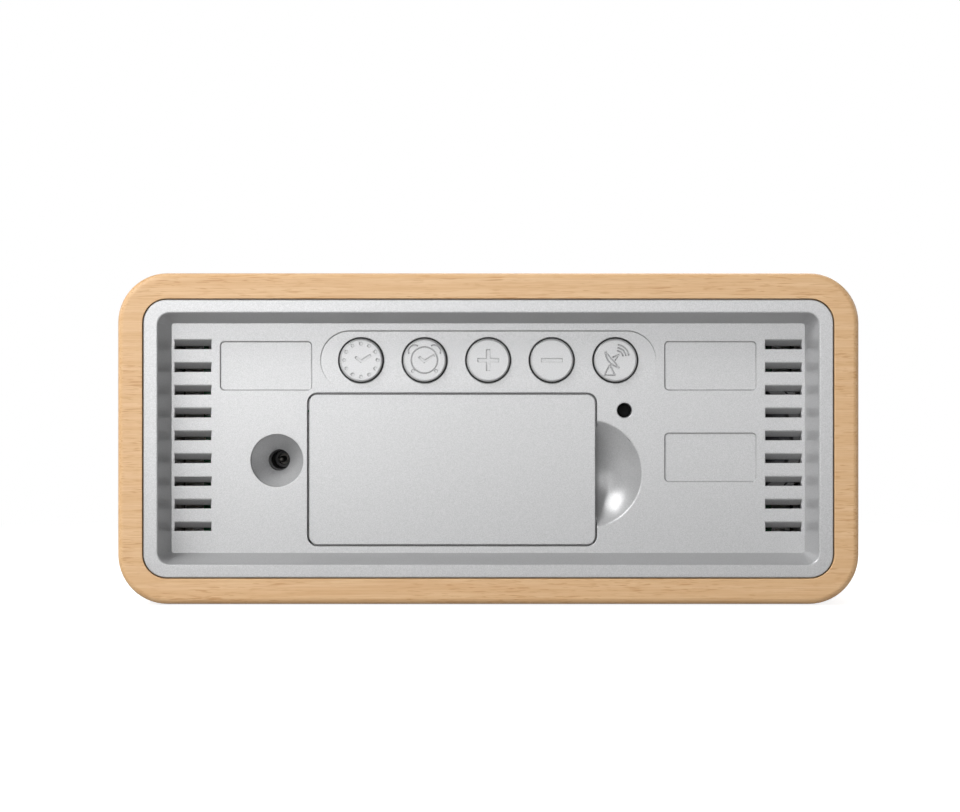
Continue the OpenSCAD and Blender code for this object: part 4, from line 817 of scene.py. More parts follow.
def build(name: str, shapes: Sequence[Shape], finish: Finish, body: str = "clock",
          nodes: Sequence[str] = (), crease: float = 35.0) -> bpy.types.Object:
    """Makes one piece from surfaces.

    Args:
        name: the piece's name.
        shapes: points in millimetres and faces of each surface.
        finish: its finish.
        body: the body that it moves with.
        nodes: the frame nodes that it stands for.
        crease: angle in degrees over which an edge stays sharp.

    Returns:
        The piece.
    """
    starts = np.cumsum([0] + [len(points) for points, _ in shapes])
    points = np.concatenate([points for points, _ in shapes]) * MM
    faces = [row for (_, rows), start in zip(shapes, starts) for row in (rows + start).tolist()]
    mesh = bpy.data.meshes.new(name)
    mesh.from_pydata(points.tolist(), [], faces)
    work = bmesh.new()
    work.from_mesh(mesh)
    bmesh.ops.remove_doubles(work, verts=work.verts, dist=1e-7)
    bmesh.ops.dissolve_degenerate(work, edges=work.edges, dist=1e-8)
    bmesh.ops.recalc_face_normals(work, faces=work.faces)
    work.to_mesh(mesh)
    work.free()
    mesh.shade_smooth()
    mesh.set_sharp_from_angle(angle=math.radians(crease))
    piece = add_object(name, mesh)
    settle(piece, finish, body, nodes)
    return piece


@dataclass
class Edges:
    """The edges of a casing, as arrays in millimetres."""

    middle: np.ndarray
    along: np.ndarray
    angle: np.ndarray
    convex: np.ndarray

    @classmethod
    def of(cls, mesh: bpy.types.Mesh) -> "Edges":
        """Measures a closed mesh's edges.

        The angle is the one between the normals of an edge's two faces, and an edge is convex where the
        second face's middle lies behind the first face.

        Args:
            mesh: the mesh.

        Returns:
            The edges in the mesh's own order.
        """
        count, faces = len(mesh.edges), len(mesh.polygons)
        ends = np.empty(count * 2, np.int64)
        mesh.edges.foreach_get("vertices", ends)
        points = np.empty(len(mesh.vertices) * 3)
        mesh.vertices.foreach_get("co", points)
        points = points.reshape(-1, 3) / MM
        ends = ends.reshape(-1, 2)
        normals, centres = np.empty(faces * 3), np.empty(faces * 3)
        mesh.polygons.foreach_get("normal", normals)
        mesh.polygons.foreach_get("center", centres)
        normals, centres = normals.reshape(-1, 3), centres.reshape(-1, 3) / MM
        sides, edges = np.empty(faces, np.int64), np.empty(len(mesh.loops), np.int64)
        mesh.polygons.foreach_get("loop_total", sides)
        mesh.loops.foreach_get("edge_index", edges)
        face_of = np.repeat(np.arange(faces), sides)[np.argsort(edges, kind="stable")].reshape(-1, 2)
        first, second = normals[face_of[:, 0]], normals[face_of[:, 1]]
        angle = np.degrees(np.arccos(np.clip((first * second).sum(1), -1, 1)))
        behind = ((centres[face_of[:, 1]] - points[ends[:, 0]]) * first).sum(1) < 0
        along = points[ends[:, 1]] - points[ends[:, 0]]
        return cls(points[ends].mean(1), along, angle, behind)

    def run(self, axis: int) -> np.ndarray:
        """Which edges run along an axis.

        Args:
            axis: 0 for X, 1 for Y and 2 for Z.

        Returns:
            True for each edge that does.
        """
        return np.abs(self.along[:, axis]) > STRAIGHT * np.linalg.norm(self.along, axis=1)


Rule = Callable[[Edges], np.ndarray]


def eased(name: str, node: str, rule: Rule, finish: Finish, body: str = "clock", steps: int = 2,
          threshold: float = 24.0) -> bpy.types.Object:
    """A casing with its edges rounded, each by its own width.

    Args:
        name: the piece's name.
        node: the frame node whose form it takes and that it stands for.
        rule: gives each edge's width in millimetres.
        finish: its finish.
        body: the body that it moves with.
        steps: number of faces across an eased edge.
        threshold: angle in degrees under which an edge is part of a curve and isn't eased.

    Returns:
        The piece.
    """
    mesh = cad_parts[node].data.copy()
    mesh.name = name
    work = bmesh.new()
    work.from_mesh(mesh)
    bmesh.ops.remove_doubles(work, verts=work.verts, dist=1e-6)
    bmesh.ops.dissolve_limit(work, angle_limit=math.radians(0.8), verts=work.verts, edges=work.edges)
    work.to_mesh(mesh)
    work.free()
    edges = Edges.of(mesh)
    widths = np.where(edges.angle > threshold, rule(edges), 0.0)
    widest = max(float(widths.max()), 1e-3)
    weight = mesh.attributes.get("bevel_weight_edge") or mesh.attributes.new(
        "bevel_weight_edge", "FLOAT", "EDGE")
    weight.data.foreach_set("value", (widths / widest).astype(np.float32))
    mesh.shade_smooth()
    sharp = mesh.attributes.get("sharp_edge") or mesh.attributes.new("sharp_edge", "BOOLEAN", "EDGE")
    sharp.data.foreach_set("value", (edges.angle > threshold) & (widths < 1e-4))
    piece = add_object(name, mesh)
    bevel = piece.modifiers.new("eased_edges", "BEVEL")
    bevel.limit_method = "WEIGHT"
    bevel.width = widest * MM
    bevel.segments = steps
    bevel.use_clamp_overlap = False
    flat = piece.modifiers.new("flat_faces", "WEIGHTED_NORMAL")
    flat.mode = "FACE_AREA"
    flat.weight = 100
    flat.keep_sharp = True
    settle(piece, finish, body, [node])
    return piece


def own_form(node: str) -> Shape:
    """A frame node's own triangles.

    Args:
        node: the frame node.

    Returns:
        Points in millimetres, three to a triangle, and the triangles.
    """
    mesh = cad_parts[node].data
    places, corners = np.empty(len(mesh.vertices) * 3), np.empty(len(mesh.loops), np.int64)
    mesh.vertices.foreach_get("co", places)
    mesh.loops.foreach_get("vertex_index", corners)
    return places.reshape(-1, 3) / MM, corners.reshape(-1, 3)


def dress(finish: Finish, *nodes: str) -> None:
    """Gives frame nodes a finish where their own form stays.

    Args:
        finish: the finish.
        nodes: the frame nodes.
    """
    for node in nodes:
        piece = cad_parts[node]
        piece.data.materials.clear()
        piece.data.materials.append(finish.material())
        LOG.info("%s: kept, %s", node, finish.name)


def rounded_distance(x: np.ndarray, z: np.ndarray, width: float, height: float,
                     radius: float) -> np.ndarray:
    """Distance from the outline of a rectangle with round corners, negative inside it.

    It is the length of the part of (|x|, |z|) that lies past the corner's centre, less the radius.

    Args:
        x: places across.
        z: places up, from the rectangle's middle.
        width: the rectangle's width.
        height: the rectangle's height.
        radius: its corners' radius.

    Returns:
        The distances.
    """
    dx, dz = np.abs(x) - (width / 2 - radius), np.abs(z) - (height / 2 - radius)
    outside = np.hypot(np.maximum(dx, 0), np.maximum(dz, 0))
    return outside + np.minimum(np.maximum(dx, dz), 0) - radius


@dataclass
class WoodSleeve:
    """The wood sleeve and its pads."""

    corner: float = 10.0
    mouth_ease: float = 1.35
    inner_ease: float = 0.16
    step_ease: float = 0.15
    opening_ease: float = 0.3
    pad_radius: float = 4.5
    pad_ease: float = 0.35

    def edge_widths(self, edges: Edges) -> np.ndarray:
        """Wide rounds at both mouths' outer edges and small ones elsewhere.

        Args:
            edges: the sleeve's edges.

        Returns:
            Each edge's width.
        """
        low, high = span("wood_case")
        size, centre = high - low, (low + high) / 2
        x, y, z = edges.middle.T
        gap = rounded_distance(x, z - centre[2], size[0], size[2], self.corner)
        at_mouth = np.abs(np.abs(y) - high[1]) < ON_PLANE
        outside = np.abs(gap) < ON_OUTLINE
        widths = np.full(len(x), self.step_ease)
        widths[at_mouth] = self.inner_ease
        widths[at_mouth & outside] = self.mouth_ease
        widths[~at_mouth & outside & (z > centre[2])] = self.opening_ease
        widths[~edges.convex] = 0.0
        return widths

    def pads(self) -> list[Shape]:
        """Four round pads with a soft lower edge, turned about Z.

        Returns:
            The pads' surfaces.
        """
        high = span("foot_pads")[1]
        r, e, top = self.pad_radius, self.pad_ease, high[2]
        profile = np.array([[0, 0], [r - e, 0], *(round_corner(r - e, 0, r, e, 4)[1:]), [r, top],
                            [0, top]])
        reach = np.array([high[0] - r, high[1] - r])
        return [turned(profile, Axis.Z, (sx * reach[0], sy * reach[1], 0), 48)
                for sx in (-1, 1) for sy in (-1, 1)]

    def make(self) -> None:
        """Makes the sleeve and its pads."""
        eased("wood_sleeve", "wood_case", self.edge_widths, BEECH, steps=4)
        build("stick_on_pads", self.pads(), PAD, nodes=["foot_pads"])


@dataclass
class RearCover:
    """The silver cover in the rear mouth, with its battery door."""

    ring_ease: float = 0.22
    rim_ease: float = 0.3
    floor_ease: float = 0.2
    floor_size: Sequence[float] = (130.1, 47.2)
    floor_corner: float = 0.5
    wall_foot: float = 1.0
    ring_face: float = 0.5
    fine_ease: float = 0.14
    fine_depth: float = 0.45
    door_ease: float = 0.14
    door_foot_ease: float = 0.06
    door_margin: float = 0.5
    island_size: Sequence[float] = (68.9, 12.0)
    island_z: float = 49.8
    island_fade: float = 1.0

    def cover_widths(self, edges: Edges) -> np.ndarray:
        """Rounds at the ring, its rim, the floor and what is cut into the floor.

        Round the sunk field of the keys the width shrinks with the step, down to nothing at its foot.

        Args:
            edges: the cover's edges.

        Returns:
            Each edge's width.
        """
        low, high = span("rear_cover")
        door_low, door_high = span("battery_door")
        panel = door_high[1]
        x, y, z = edges.middle.T
        up = z - (low[2] + high[2]) / 2
        widths = np.zeros(len(x))
        widths[y > panel + self.wall_foot] = self.rim_ease
        ring = rounded_distance(x, up, high[0] - low[0], high[2] - low[2], RING_CORNER)
        at_ring = np.abs(ring) < ON_PLANE
        widths[(y > high[1] - ON_PLANE) & at_ring] = self.ring_ease
        widths[(y < high[1] - self.ring_face) & at_ring] = 0.0
        at_floor = np.abs(y - panel) < ON_FINE
        at_foot = np.abs(rounded_distance(x, up, *self.floor_size, self.floor_corner)) < ON_OUTLINE
        widths[at_floor & ~at_foot] = self.floor_ease
        shallow = (y < panel - ON_FINE) & (y > panel - self.fine_depth)
        widths[shallow] = self.fine_ease
        widths[shallow & edges.run(1)] = 0.0
        tall = self.island_size[1]
        island = rounded_distance(x, z - self.island_z, *self.island_size, tall / 2)
        at_island = np.abs(island) < ON_OUTLINE
        share = (z - self.island_z + tall / 2 - self.island_fade) / (tall - self.island_fade)
        widths[at_island] *= np.clip(share[at_island], 0.0, 1.0)
        near = self.door_margin
        near_door = ((x > door_low[0] - near) & (x < door_high[0] + near) & (z > door_low[2] - near)
                     & (z < door_high[2] + near))
        widths[at_floor & near_door] = self.door_ease
        return widths

    def door_widths(self, edges: Edges) -> np.ndarray:
        """A fine round at the door's outer edge.

        Args:
            edges: the door's edges.

        Returns:
            Each edge's width.
        """
        top = span("battery_door")[1][1]
        return np.where(edges.middle[:, 1] > top - ON_FINE, self.door_ease, self.door_foot_ease)

    def make(self) -> None:
        """Makes the cover and its door."""
        eased("rear_shell", "rear_cover", self.cover_widths, REAR_SILVER, steps=3)
        eased("battery_lid", "battery_door", self.door_widths, SILVER, body="battery_door")


@dataclass
class RearKeys:
    """The five rear keys, the reset key and the power socket."""

    names: Sequence[str] = ("time_button", "alarm_button", "plus_button", "minus_button",
                            "signal_button")
    cap_ease: float = 0.3
    cap_radius: float = 4.4
    reset_ease: float = 0.25
    reset_foot: float = 0.1
    reset_hollow: float = 0.12
    pin_radius: float = 0.65
    pin_length: float = 7.2
    socket_ease: float = 0.15

    def key(self, node: str) -> list[Shape]:
        """A key with a round edge.

        The rim of its own form is drawn in by the edge's width. A collar, turned about Y, stands in the
        rim's place and fills the key below its sign.

        Args:
            node: the frame node.

        Returns:
            Its surfaces.
        """
        centre, top = middle(node), span(node)[1][1]
        points, faces = own_form(node)
        r, e = self.cap_radius, self.cap_ease
        away = points - [centre[0], 0, centre[2]]
        reach = np.hypot(away[:, 0], away[:, 2])
        flange = points[reach > r + ON_OUTLINE, 1].max()
        rim = (points[:, 1] > top - 0.01) & (reach > r - ON_OUTLINE)
        points[rim] -= away[rim] * [e / r, 0, e / r]
        edge = round_corner(r - e, top, r, top - e, 6).tolist()
        collar = [[0, top - 2 * e], [r - 1.2 * e, top - 2 * e], [r - 1.2 * e, top - 0.002], *edge,
                  [r, flange], [0, flange]]
        return [(points, faces), turned(collar, Axis.Y, (centre[0], 0, centre[2]), 96)]

    def reset_key(self) -> Shape:
        """The reset key, a turned pin with a slightly hollow end.

        Returns:
            Its surface.
        """
        low, high = span("reset_button")
        centre = (low + high) / 2
        r, length = (high[0] - low[0]) / 2, high[1] - low[1]
        e, foot, hollow = self.reset_ease, self.reset_foot, self.reset_hollow
        profile = [[0, 0], [r - foot, 0], [r, foot], [r, length - e],
                   *round_corner(r, length - e, r - e, length, 4)[1:].tolist(),
                   [r * 0.5, length - hollow / 2], [0, length - hollow]]
        return turned(profile, Axis.Y, (centre[0], low[1], centre[2]), 40)

    def pin(self) -> Shape:
        """The socket's centre pin with a round tip, turned about Y.

        Returns:
            Its surface.
        """
        low, high = span("dc_jack_pin")
        centre = (low + high) / 2
        foot, length, r = (high[0] - low[0]) / 2, high[1] - low[1], self.pin_radius
        base = length - self.pin_length
        t = np.linspace(0, math.pi / 2, 9)
        tip = np.stack([r * np.cos(t), length - r + r * np.sin(t)], axis=-1)
        profile = [[0, 0], [foot, 0], [foot, base], [r, base], *tip.tolist()]
        return turned(profile, Axis.Y, (centre[0], low[1], centre[2]), 32)

    def make(self) -> None:
        """Makes the keys and the socket."""
        for name in self.names:
            build(name.replace("button", "key"), self.key(name), REAR_KEY_SILVER, body=name,
                  nodes=[name])
        # The reset pin's near-pure black is partly painted shade for the hole that it sits in
        build("reset_pin", [self.reset_key()], RESET_SHADE_BLACK, body="reset_button", nodes=["reset_button"])
        eased("socket_body", "dc_jack", lambda e: np.full(len(e.angle), self.socket_ease), BLACK)
        build("socket_pin", [self.pin()], PIN, nodes=["dc_jack_pin"])
        dress(BOARD, "key_board", "jack_board")
        dress(BLACK, "key_switches")
        dress(STEEL, "key_board_screws", "jack_board_screws")


@dataclass(frozen=True)
class Figure:
    """A seven-segment figure, as wide as its height times a share."""

    height: float
    bar: float
    width_share: float = 0.54
    slant: float = 0.1
    gap_share: float = 0.09
    dot_share: float = 0.52
    ease: float = 0.04

    DOTS = {":": (0.22, -0.22), ".": (-0.5,)}
    SEGMENTS = {
        "0": "abcdef", "1": "bc", "2": "abged", "3": "abgcd", "4": "fgbc", "5": "afgcd",
        "6": "afgedc", "7": "abc", "8": "abcdefg", "9": "abcdfg",
    }

    def bars(self) -> dict[str, np.ndarray]:
        """Outline of each segment round the figure's middle: a bar with pointed ends.

        Returns:
            Six points in X and Z a segment.
        """
        h, w = self.height / 2, self.height * self.width_share / 2
        b, gap = self.bar / 2, self.bar * self.gap_share
        ends = {
            "a": ((-w, h), (w, h)), "g": ((-w, 0), (w, 0)), "d": ((-w, -h), (w, -h)),
            "f": ((-w, 0), (-w, h)), "b": ((w, 0), (w, h)), "e": ((-w, -h), (-w, 0)),
            "c": ((w, -h), (w, 0)),
        }
        made = {}
        for key, (start, end) in ends.items():
            p, q = np.array(start, float), np.array(end, float)
            u = (q - p) / np.linalg.norm(q - p)
            v = np.array([-u[1], u[0]])
            p, q = p + u * gap, q - u * gap
            outline = np.array([p, p + b * (u + v), q + b * (v - u), q, q - b * (u + v),
                                p + b * (u - v)])
            outline[:, 0] += self.slant * outline[:, 1]
            made[key] = outline
        return made

    def draw(self, sign: str, x: float, z: float, low: float,
             high: float) -> tuple[list[Shape], list[Shape]]:
        """The lit and the resting segments of a figure.

        Args:
            sign: the figure.
            x: its middle across.
            z: its middle up.
            low: the segments' front.
            high: the segments' back.

        Returns:
            Surfaces of the lit segments and of the others.
        """
        lit: list[Shape] = []
        resting: list[Shape] = []
        for key, outline in self.bars().items():
            shape = prism(outline + [x, z], low, high, self.ease)
            (lit if key in self.SEGMENTS[sign] else resting).append(shape)
        return lit, resting


@dataclass(frozen=True)
class Row:
    """A row of figures: where it starts and lies, and its steps over a figure and over a dot."""

    text: str
    figure: Figure
    left: float
    up: float
    step: float
    gap: float


@dataclass
class Display:
    """The front: its silver ring, smoked window, display and what is behind it."""

    time: Row = Row("10:08", Figure(23.0, 2.9), -49.0, 0.0, 17.2, 6.4)
    degrees: Row = Row("21.5", Figure(8.4, 1.15), 30.4, 7.2, 6.6, 2.4)
    date: Row = Row("24.6", Figure(8.4, 1.15), 30.4, -7.2, 6.6, 2.4)
    relief: float = 0.06
    ring_ease: float = 0.35
    rim_ease: float = 0.4
    window_ease: float = 0.12

    def ring_widths(self, edges: Edges) -> np.ndarray:
        """Rounds at the front ring's outer and inner edges.

        Args:
            edges: the ring's edges.

        Returns:
            Each edge's width.
        """
        low, high = span("front_bezel")
        x, y, z = edges.middle.T
        gap = rounded_distance(x, z - (low[2] + high[2]) / 2, high[0] - low[0], high[2] - low[2],
                               RING_CORNER)
        front = y < low[1] + ON_PLANE
        return np.where(front, np.where(np.abs(gap) < ON_OUTLINE, self.ring_ease, self.rim_ease), 0.0)

    def draw(self, row: Row) -> tuple[list[Shape], list[Shape]]:
        """A row of figures with its colon or points.

        Args:
            row: the row.

        Returns:
            Surfaces of the lit and of the resting segments.
        """
        figure, back = row.figure, span("lcd_glass")[0][1]
        front = back - self.relief
        lit: list[Shape] = []
        resting: list[Shape] = []
        x, z = row.left + row.step / 2, middle("lcd_glass")[2] + row.up
        for sign in row.text:
            if sign in figure.SEGMENTS:
                on, off = figure.draw(sign, x, z, front, back)
                lit += on
                resting += off
                x += row.step
                continue
            for share in figure.DOTS[sign]:
                up = share * figure.height
                t = np.linspace(0, 2 * math.pi, 20, endpoint=False)
                r = figure.bar * figure.dot_share
                dot = np.stack([x - row.step / 2 + row.gap / 2 + r * np.cos(t) + figure.slant * up,
                                z + up + r * np.sin(t)], axis=-1)
                lit.append(prism(dot, front, back, figure.ease))
            x += row.gap
        return lit, resting

    def make(self) -> None:
        """Makes the front."""
        eased("front_ring", "front_bezel", self.ring_widths, SILVER, steps=3)
        eased("front_window", "display_window", lambda e: np.full(len(e.angle), self.window_ease),
              SMOKED)
        lit: list[Shape] = []
        resting: list[Shape] = []
        for row in (self.time, self.degrees, self.date):
            on, off = self.draw(row)
            lit += on
            resting += off
        build("lit_figures", lit, FIGURES)
        # The resting segments carry a faint painted glow
        build("resting_figures_painted_glow", resting, RESTING_PAINTED_GLOW)
        dress(DISPLAY, "lcd_glass")
        dress(FOAM, "display_gasket")
        dress(GUIDE, "light_guide")
        dress(STRIP, "contact_strips")
        dress(WHITE, "display_chassis")
        dress(STEEL, "chassis_screws")


@dataclass
class Battery:
    """The cells with their contacts and springs."""

    shoulder: float = 0.9
    nub_radius: float = 2.75
    nub_length: float = 1.0
    band_share: float = 0.24
    wire: float = 0.25
    turns: float = 3.0
    wide: float = 4.6
    narrow: float = 2.4
    clearance: float = 0.05

    def cell(self, node: str, nub: Side) -> Shape:
        """A cell with its crimped shoulder, cap and flat end, turned about X.

        Args:
            node: the frame node.
            nub: where its cap points.

        Returns:
            Its surface.
        """
        low, high = span(node)
        r, length = (high[1] - low[1]) / 2, high[0] - low[0]
        e, n = self.shoulder, self.nub_length
        body = length - n
        flat = [[0, 0.12], [r * 0.62, 0.12], [r * 0.66, 0.0], [r - 0.55, 0.0]]
        tail = round_corner(r - 0.55, 0.0, r, 0.45, 5)[1:].tolist()
        head = round_corner(0.0, 0.0, e, e, 6)
        crown = [[r - p[1], body - e + p[0]] for p in head]
        cap = [[r - 1.7, body], [r - 1.9, body - 0.35], [self.nub_radius + 0.7, body - 0.3],
               [self.nub_radius + 0.2, body - 0.1]]
        nose = [[self.nub_radius, body + n * 0.25], [self.nub_radius, body + n - 0.3],
                [self.nub_radius - 0.12, body + n - 0.08], [self.nub_radius - 0.35, body + n],
                [0, body + n]]
        profile = np.array([*flat, *tail, *crown, *cap, *nose])
        if nub is Side.LOW:
            profile = np.stack([profile[:, 0], length - profile[:, 1]], axis=-1)[::-1]
        return turned(profile, Axis.X, (low[0], middle(node)[1], middle(node)[2]), 96)

    def spring(self, start: float, end: float, z: float) -> Shape:
        """A cone spring wound along X.

        Point t is (start + (end - start) t, y + r(t) cos(a), z + r(t) sin(a)) with a = 360 turns t.

        Args:
            start: where the wide end lies.
            end: where the narrow end lies.
            z: its middle up.

        Returns:
            Its surface.
        """
        t = np.linspace(0, 1, 120)
        r = self.wide + (self.narrow - self.wide) * t
        a = 2 * math.pi * self.turns * t
        y = middle("upper_cell")[1]
        ahead = np.sign(end - start)
        x = start + ahead * (self.wire + self.clearance)
        x = x + (end - start - 2 * ahead * (self.wire + self.clearance)) * t
        return tube(np.stack([x, y + r * np.cos(a), z + r * np.sin(a)], axis=-1), self.wire, 12)

    def make(self) -> None:
        """Makes the cells, springs and contacts."""
        for node, name, nub in (("upper_cell", "upper_battery", Side.HIGH),
                                ("lower_cell", "lower_battery", Side.LOW)):
            low, high = span(node)
            band = (high[0] - low[0]) * self.band_share
            edge = high[0] - band if nub is Side.HIGH else low[0] + band
            finish = Sleeve(name + "_sleeve", "cell_sleeve", edge=edge, band_side=nub)
            build(name, [self.cell(node, nub)], finish, nodes=[node])
        upper, lower = middle("upper_cell")[2], middle("lower_cell")[2]
        left = span("negative_contact")[1][0]
        right = span("bridge_contact")[0][0]
        springs = [self.spring(left, span("upper_cell")[0][0], upper),
                   self.spring(right, span("lower_cell")[1][0], lower)]
        build("contact_coils", springs, NICKEL, nodes=["contact_springs"])
        dress(NICKEL, "bridge_contact", "positive_contact", "negative_contact")
        dress(STEEL, "case_screws")


@dataclass
class Electronics:
    """The main board, aerial, loudspeaker, cables and their parts."""

    wire_pitch: float = 0.42
    ripple_share: float = 0.32
    rod_bore: float = 4.05
    lead_radius: float = 0.6
    lead_ease: float = 5.0
    lead_step: float = 2.4

    def winding(self) -> Shape:
        """The aerial's winding: a barrel whose wall ripples once a turn of wire.

        The radius at angle t and place s is r - h + h |sin(pi s / pitch - t / 2)|, and both ends close
        onto the rod's bore.

        Returns:
            Its surface.
        """
        low, high = span("antenna_coil")
        r, bore, centre = (high[1] - low[1]) / 2, self.rod_bore, middle("antenna_coil")
        depth, steps = self.wire_pitch * self.ripple_share, 48
        s = np.linspace(0, high[0] - low[0], int((high[0] - low[0]) / self.wire_pitch * 6) + 1)
        t = np.linspace(0, 2 * math.pi, steps, endpoint=False)
        ripple = np.abs(np.sin(math.pi * s[:, None] / self.wire_pitch - t[None, :] / 2))
        radius = r - depth + depth * ripple
        radius = np.concatenate([np.full((1, steps), bore), radius, np.full((1, steps), bore)])
        place = np.concatenate([[0.0], s, [s[-1]]])
        x = low[0] + np.broadcast_to(place[:, None], radius.shape)
        points = np.stack([x, centre[1] + radius * np.cos(t), centre[2] + radius * np.sin(t)], axis=-1)
        return points.reshape(-1, 3), place_grid(len(place), steps, round_rows=True)

    def speaker(self) -> Shape:
        """The loudspeaker's cone with a rolled edge and a domed cap, turned about Y.

        Returns:
            Its surface.
        """
        low, high = span("speaker_cone")
        r, deep, centre = (high[0] - low[0]) / 2, high[1] - low[1], middle("speaker_cone")
        t = np.linspace(0, math.pi, 9)
        roll = np.stack([r - 1.2 - 1.0 * np.cos(math.pi - t), deep - 0.75 + 0.6 * np.sin(t)], axis=-1)
        wall = [[r - 2.2 - (r - 6.4) * k, deep - 0.8 - (deep - 1.8) * k] for k in (0.25, 0.5, 0.75, 1.0)]
        dome = [[4.0 * math.cos(a), 1.3 + 1.5 * math.sin(a)] for a in np.linspace(0, math.pi / 2, 8)]
        outer = [[0, 0], [3.6, 0], [4.0, 0.2], [r, deep - 0.3]]
        profile = [*outer, [r, deep - 0.15], *roll[::-1].tolist(), *wall, *dome[:-1], [0, 2.8]]
        return turned(profile, Axis.Y, (centre[0], low[1], centre[2]), 64)

    def lead(self, start: Sequence[float], ahead: Sequence[float], x: float, z: float) -> Shape:
        """A lead from a part to the main board.

        Point t is (1-t)^3 a + 3 (1-t)^2 t b + 3 (1-t) t^2 c + t^3 d, with b ahead of a and c behind d.

        Args:
            start: where it starts.
            ahead: the direction that it leaves in.
            x: where it meets the board across.
            z: where it meets the board up.

        Returns:
            Its surface.
        """
        a = np.array(start, float)
        d = np.array([x, span("main_board")[1][1], z])
        b, c = a + self.lead_ease * np.array(ahead, float), d + np.array([0, self.lead_ease, 0])
        t = np.linspace(0, 1, 40)[:, None]
        path = (1 - t) ** 3 * a + 3 * (1 - t) ** 2 * t * b + 3 * (1 - t) * t ** 2 * c + t ** 3 * d
        return tube(path, self.lead_radius, 14)

    def leads(self) -> list[Shape]:
        """Pairs of leads from the battery, socket, loudspeaker and snooze board.

        Returns:
            Their surfaces.
        """
        step, inwards = self.lead_step, (0, -1, 0)
        tabs = [span("negative_contact"), span("positive_contact")]
        board_low, magnet_low, snooze_low = (
            span(node)[0] for node in ("jack_board", "speaker_magnet", "snooze_board"))
        jack, speaker, snooze = (
            middle(node) for node in ("dc_jack_pin", "speaker_magnet", "snooze_board"))
        key_top = span("key_board")[1][2]
        made = []
        for s, (low, high) in zip((1, -1), tabs):
            z = (low[2] + high[2]) / 2
            x = (low[0] + high[0]) / 2
            made.append(self.lead((x, low[1], z), inwards, low[0] + s * step, z - s * step))
        for s in (-1, 1):
            made.append(self.lead((jack[0] + s * step, board_low[1], jack[2]), inwards,
                                  jack[0] + s * step - step, jack[2] + step))
            made.append(self.lead((speaker[0] + s * step, magnet_low[1], speaker[2]), inwards,
                                  speaker[0] + s * step + step, speaker[2] + step))
            made.append(self.lead((snooze[0] + s * step, snooze_low[1] + step, snooze_low[2]),
                                  (0, 0, -1), snooze[0] + s * step, key_top - step))
        return made

    def make(self) -> None:
        """Makes the inner parts."""
        build("aerial_winding", [self.winding()], ENAMEL, nodes=["antenna_coil"], crease=80)
        build("speaker_diaphragm", [self.speaker()], PAPER, nodes=["speaker_cone"])
        build("hookup_wires", self.leads(), LEAD, nodes=["hookup_leads"])
        dress(BOARD, "main_board")
        dress(BLACK, "board_components")
        dress(STEEL, "board_screws")
        dress(PAINTED, "speaker_basket")
        dress(FERRITE, "antenna_rod")
        dress(WHITE, "antenna_clips")
        dress(MAGNET, "speaker_magnet")
        dress(RIBBON, "key_ribbon")


@dataclass
class SnoozeKey:
    """The long key in the top, with its carrier and board."""

    crown: float = 0.35
    edge: float = 0.8
    lip: float = 1.0
    lip_drop: float = 3.6
    stem_radius: float = 1.6
    stem_spread: float = 14.0
    carrier_ease: float = 0.3

    def key(self) -> list[Shape]:
        """The key: a stadium that crowns towards its middle, with a lip below and two stems.

        Ring i of the surface lies at the middle line plus d_i times the direction away from it, at
        height h_i. Over the top, h falls with the square of d.

        Returns:
            Its surfaces.
        """
        low, high = span("snooze_key")
        centre = (low + high) / 2
        out = (high[1] - low[1]) / 2
        half = (high[0] - low[0]) / 2 - out
        r = out - self.lip
        top = high[2]
        lip_high = span("snooze_carrier")[1][2] - self.lip_drop
        lip_low = lip_high - self.lip
        over = [(d, top - self.crown * (d / (r - self.edge)) ** 2)
                for d in np.linspace(0, r - self.edge, 7)]
        drop = top - self.crown
        edge = round_corner(r - self.edge, drop, r, drop - self.edge, 6)[1:]
        rings = [*over, *edge.tolist(), (r, lip_high), (out, lip_high), (out, lip_low), (0, lip_low)]
        line, away = stadium(half, 1.0, 96)
        points = [np.column_stack([centre[0] + line[:, 0] + d * away[:, 0],
                                   centre[1] + d * away[:, 1], np.full(len(line), h)])
                  for d, h in rings]
        shapes = [(np.concatenate(points), place_grid(len(rings), len(line)))]
        profile = [[0, low[2]], [self.stem_radius, low[2]], [self.stem_radius, lip_low + 0.1],
                   [0, lip_low + 0.1]]
        for s in (-1, 1):
            shapes.append(turned(profile, Axis.Z, (centre[0] + s * self.stem_spread, centre[1], 0), 32))
        return shapes

    def carrier_widths(self, edges: Edges) -> np.ndarray:
        """Rounds at the carrier's top edges.

        Args:
            edges: the carrier's edges.

        Returns:
            Each edge's width.
        """
        top = span("snooze_carrier")[1][2]
        return np.where(edges.middle[:, 2] > top - ON_PLANE, self.carrier_ease, 0.0)

    def make(self) -> None:
        """Makes the key, its carrier and its board."""
        build("snooze_bar", self.key(), KEY_SILVER, body="snooze_key", nodes=["snooze_key"])
        eased("snooze_surround", "snooze_carrier", self.carrier_widths, SILVER, steps=3)
        dress(BOARD, "snooze_board")
        dress(BLACK, "snooze_switches")
        dress(STEEL, "snooze_board_screws", "top_screws")


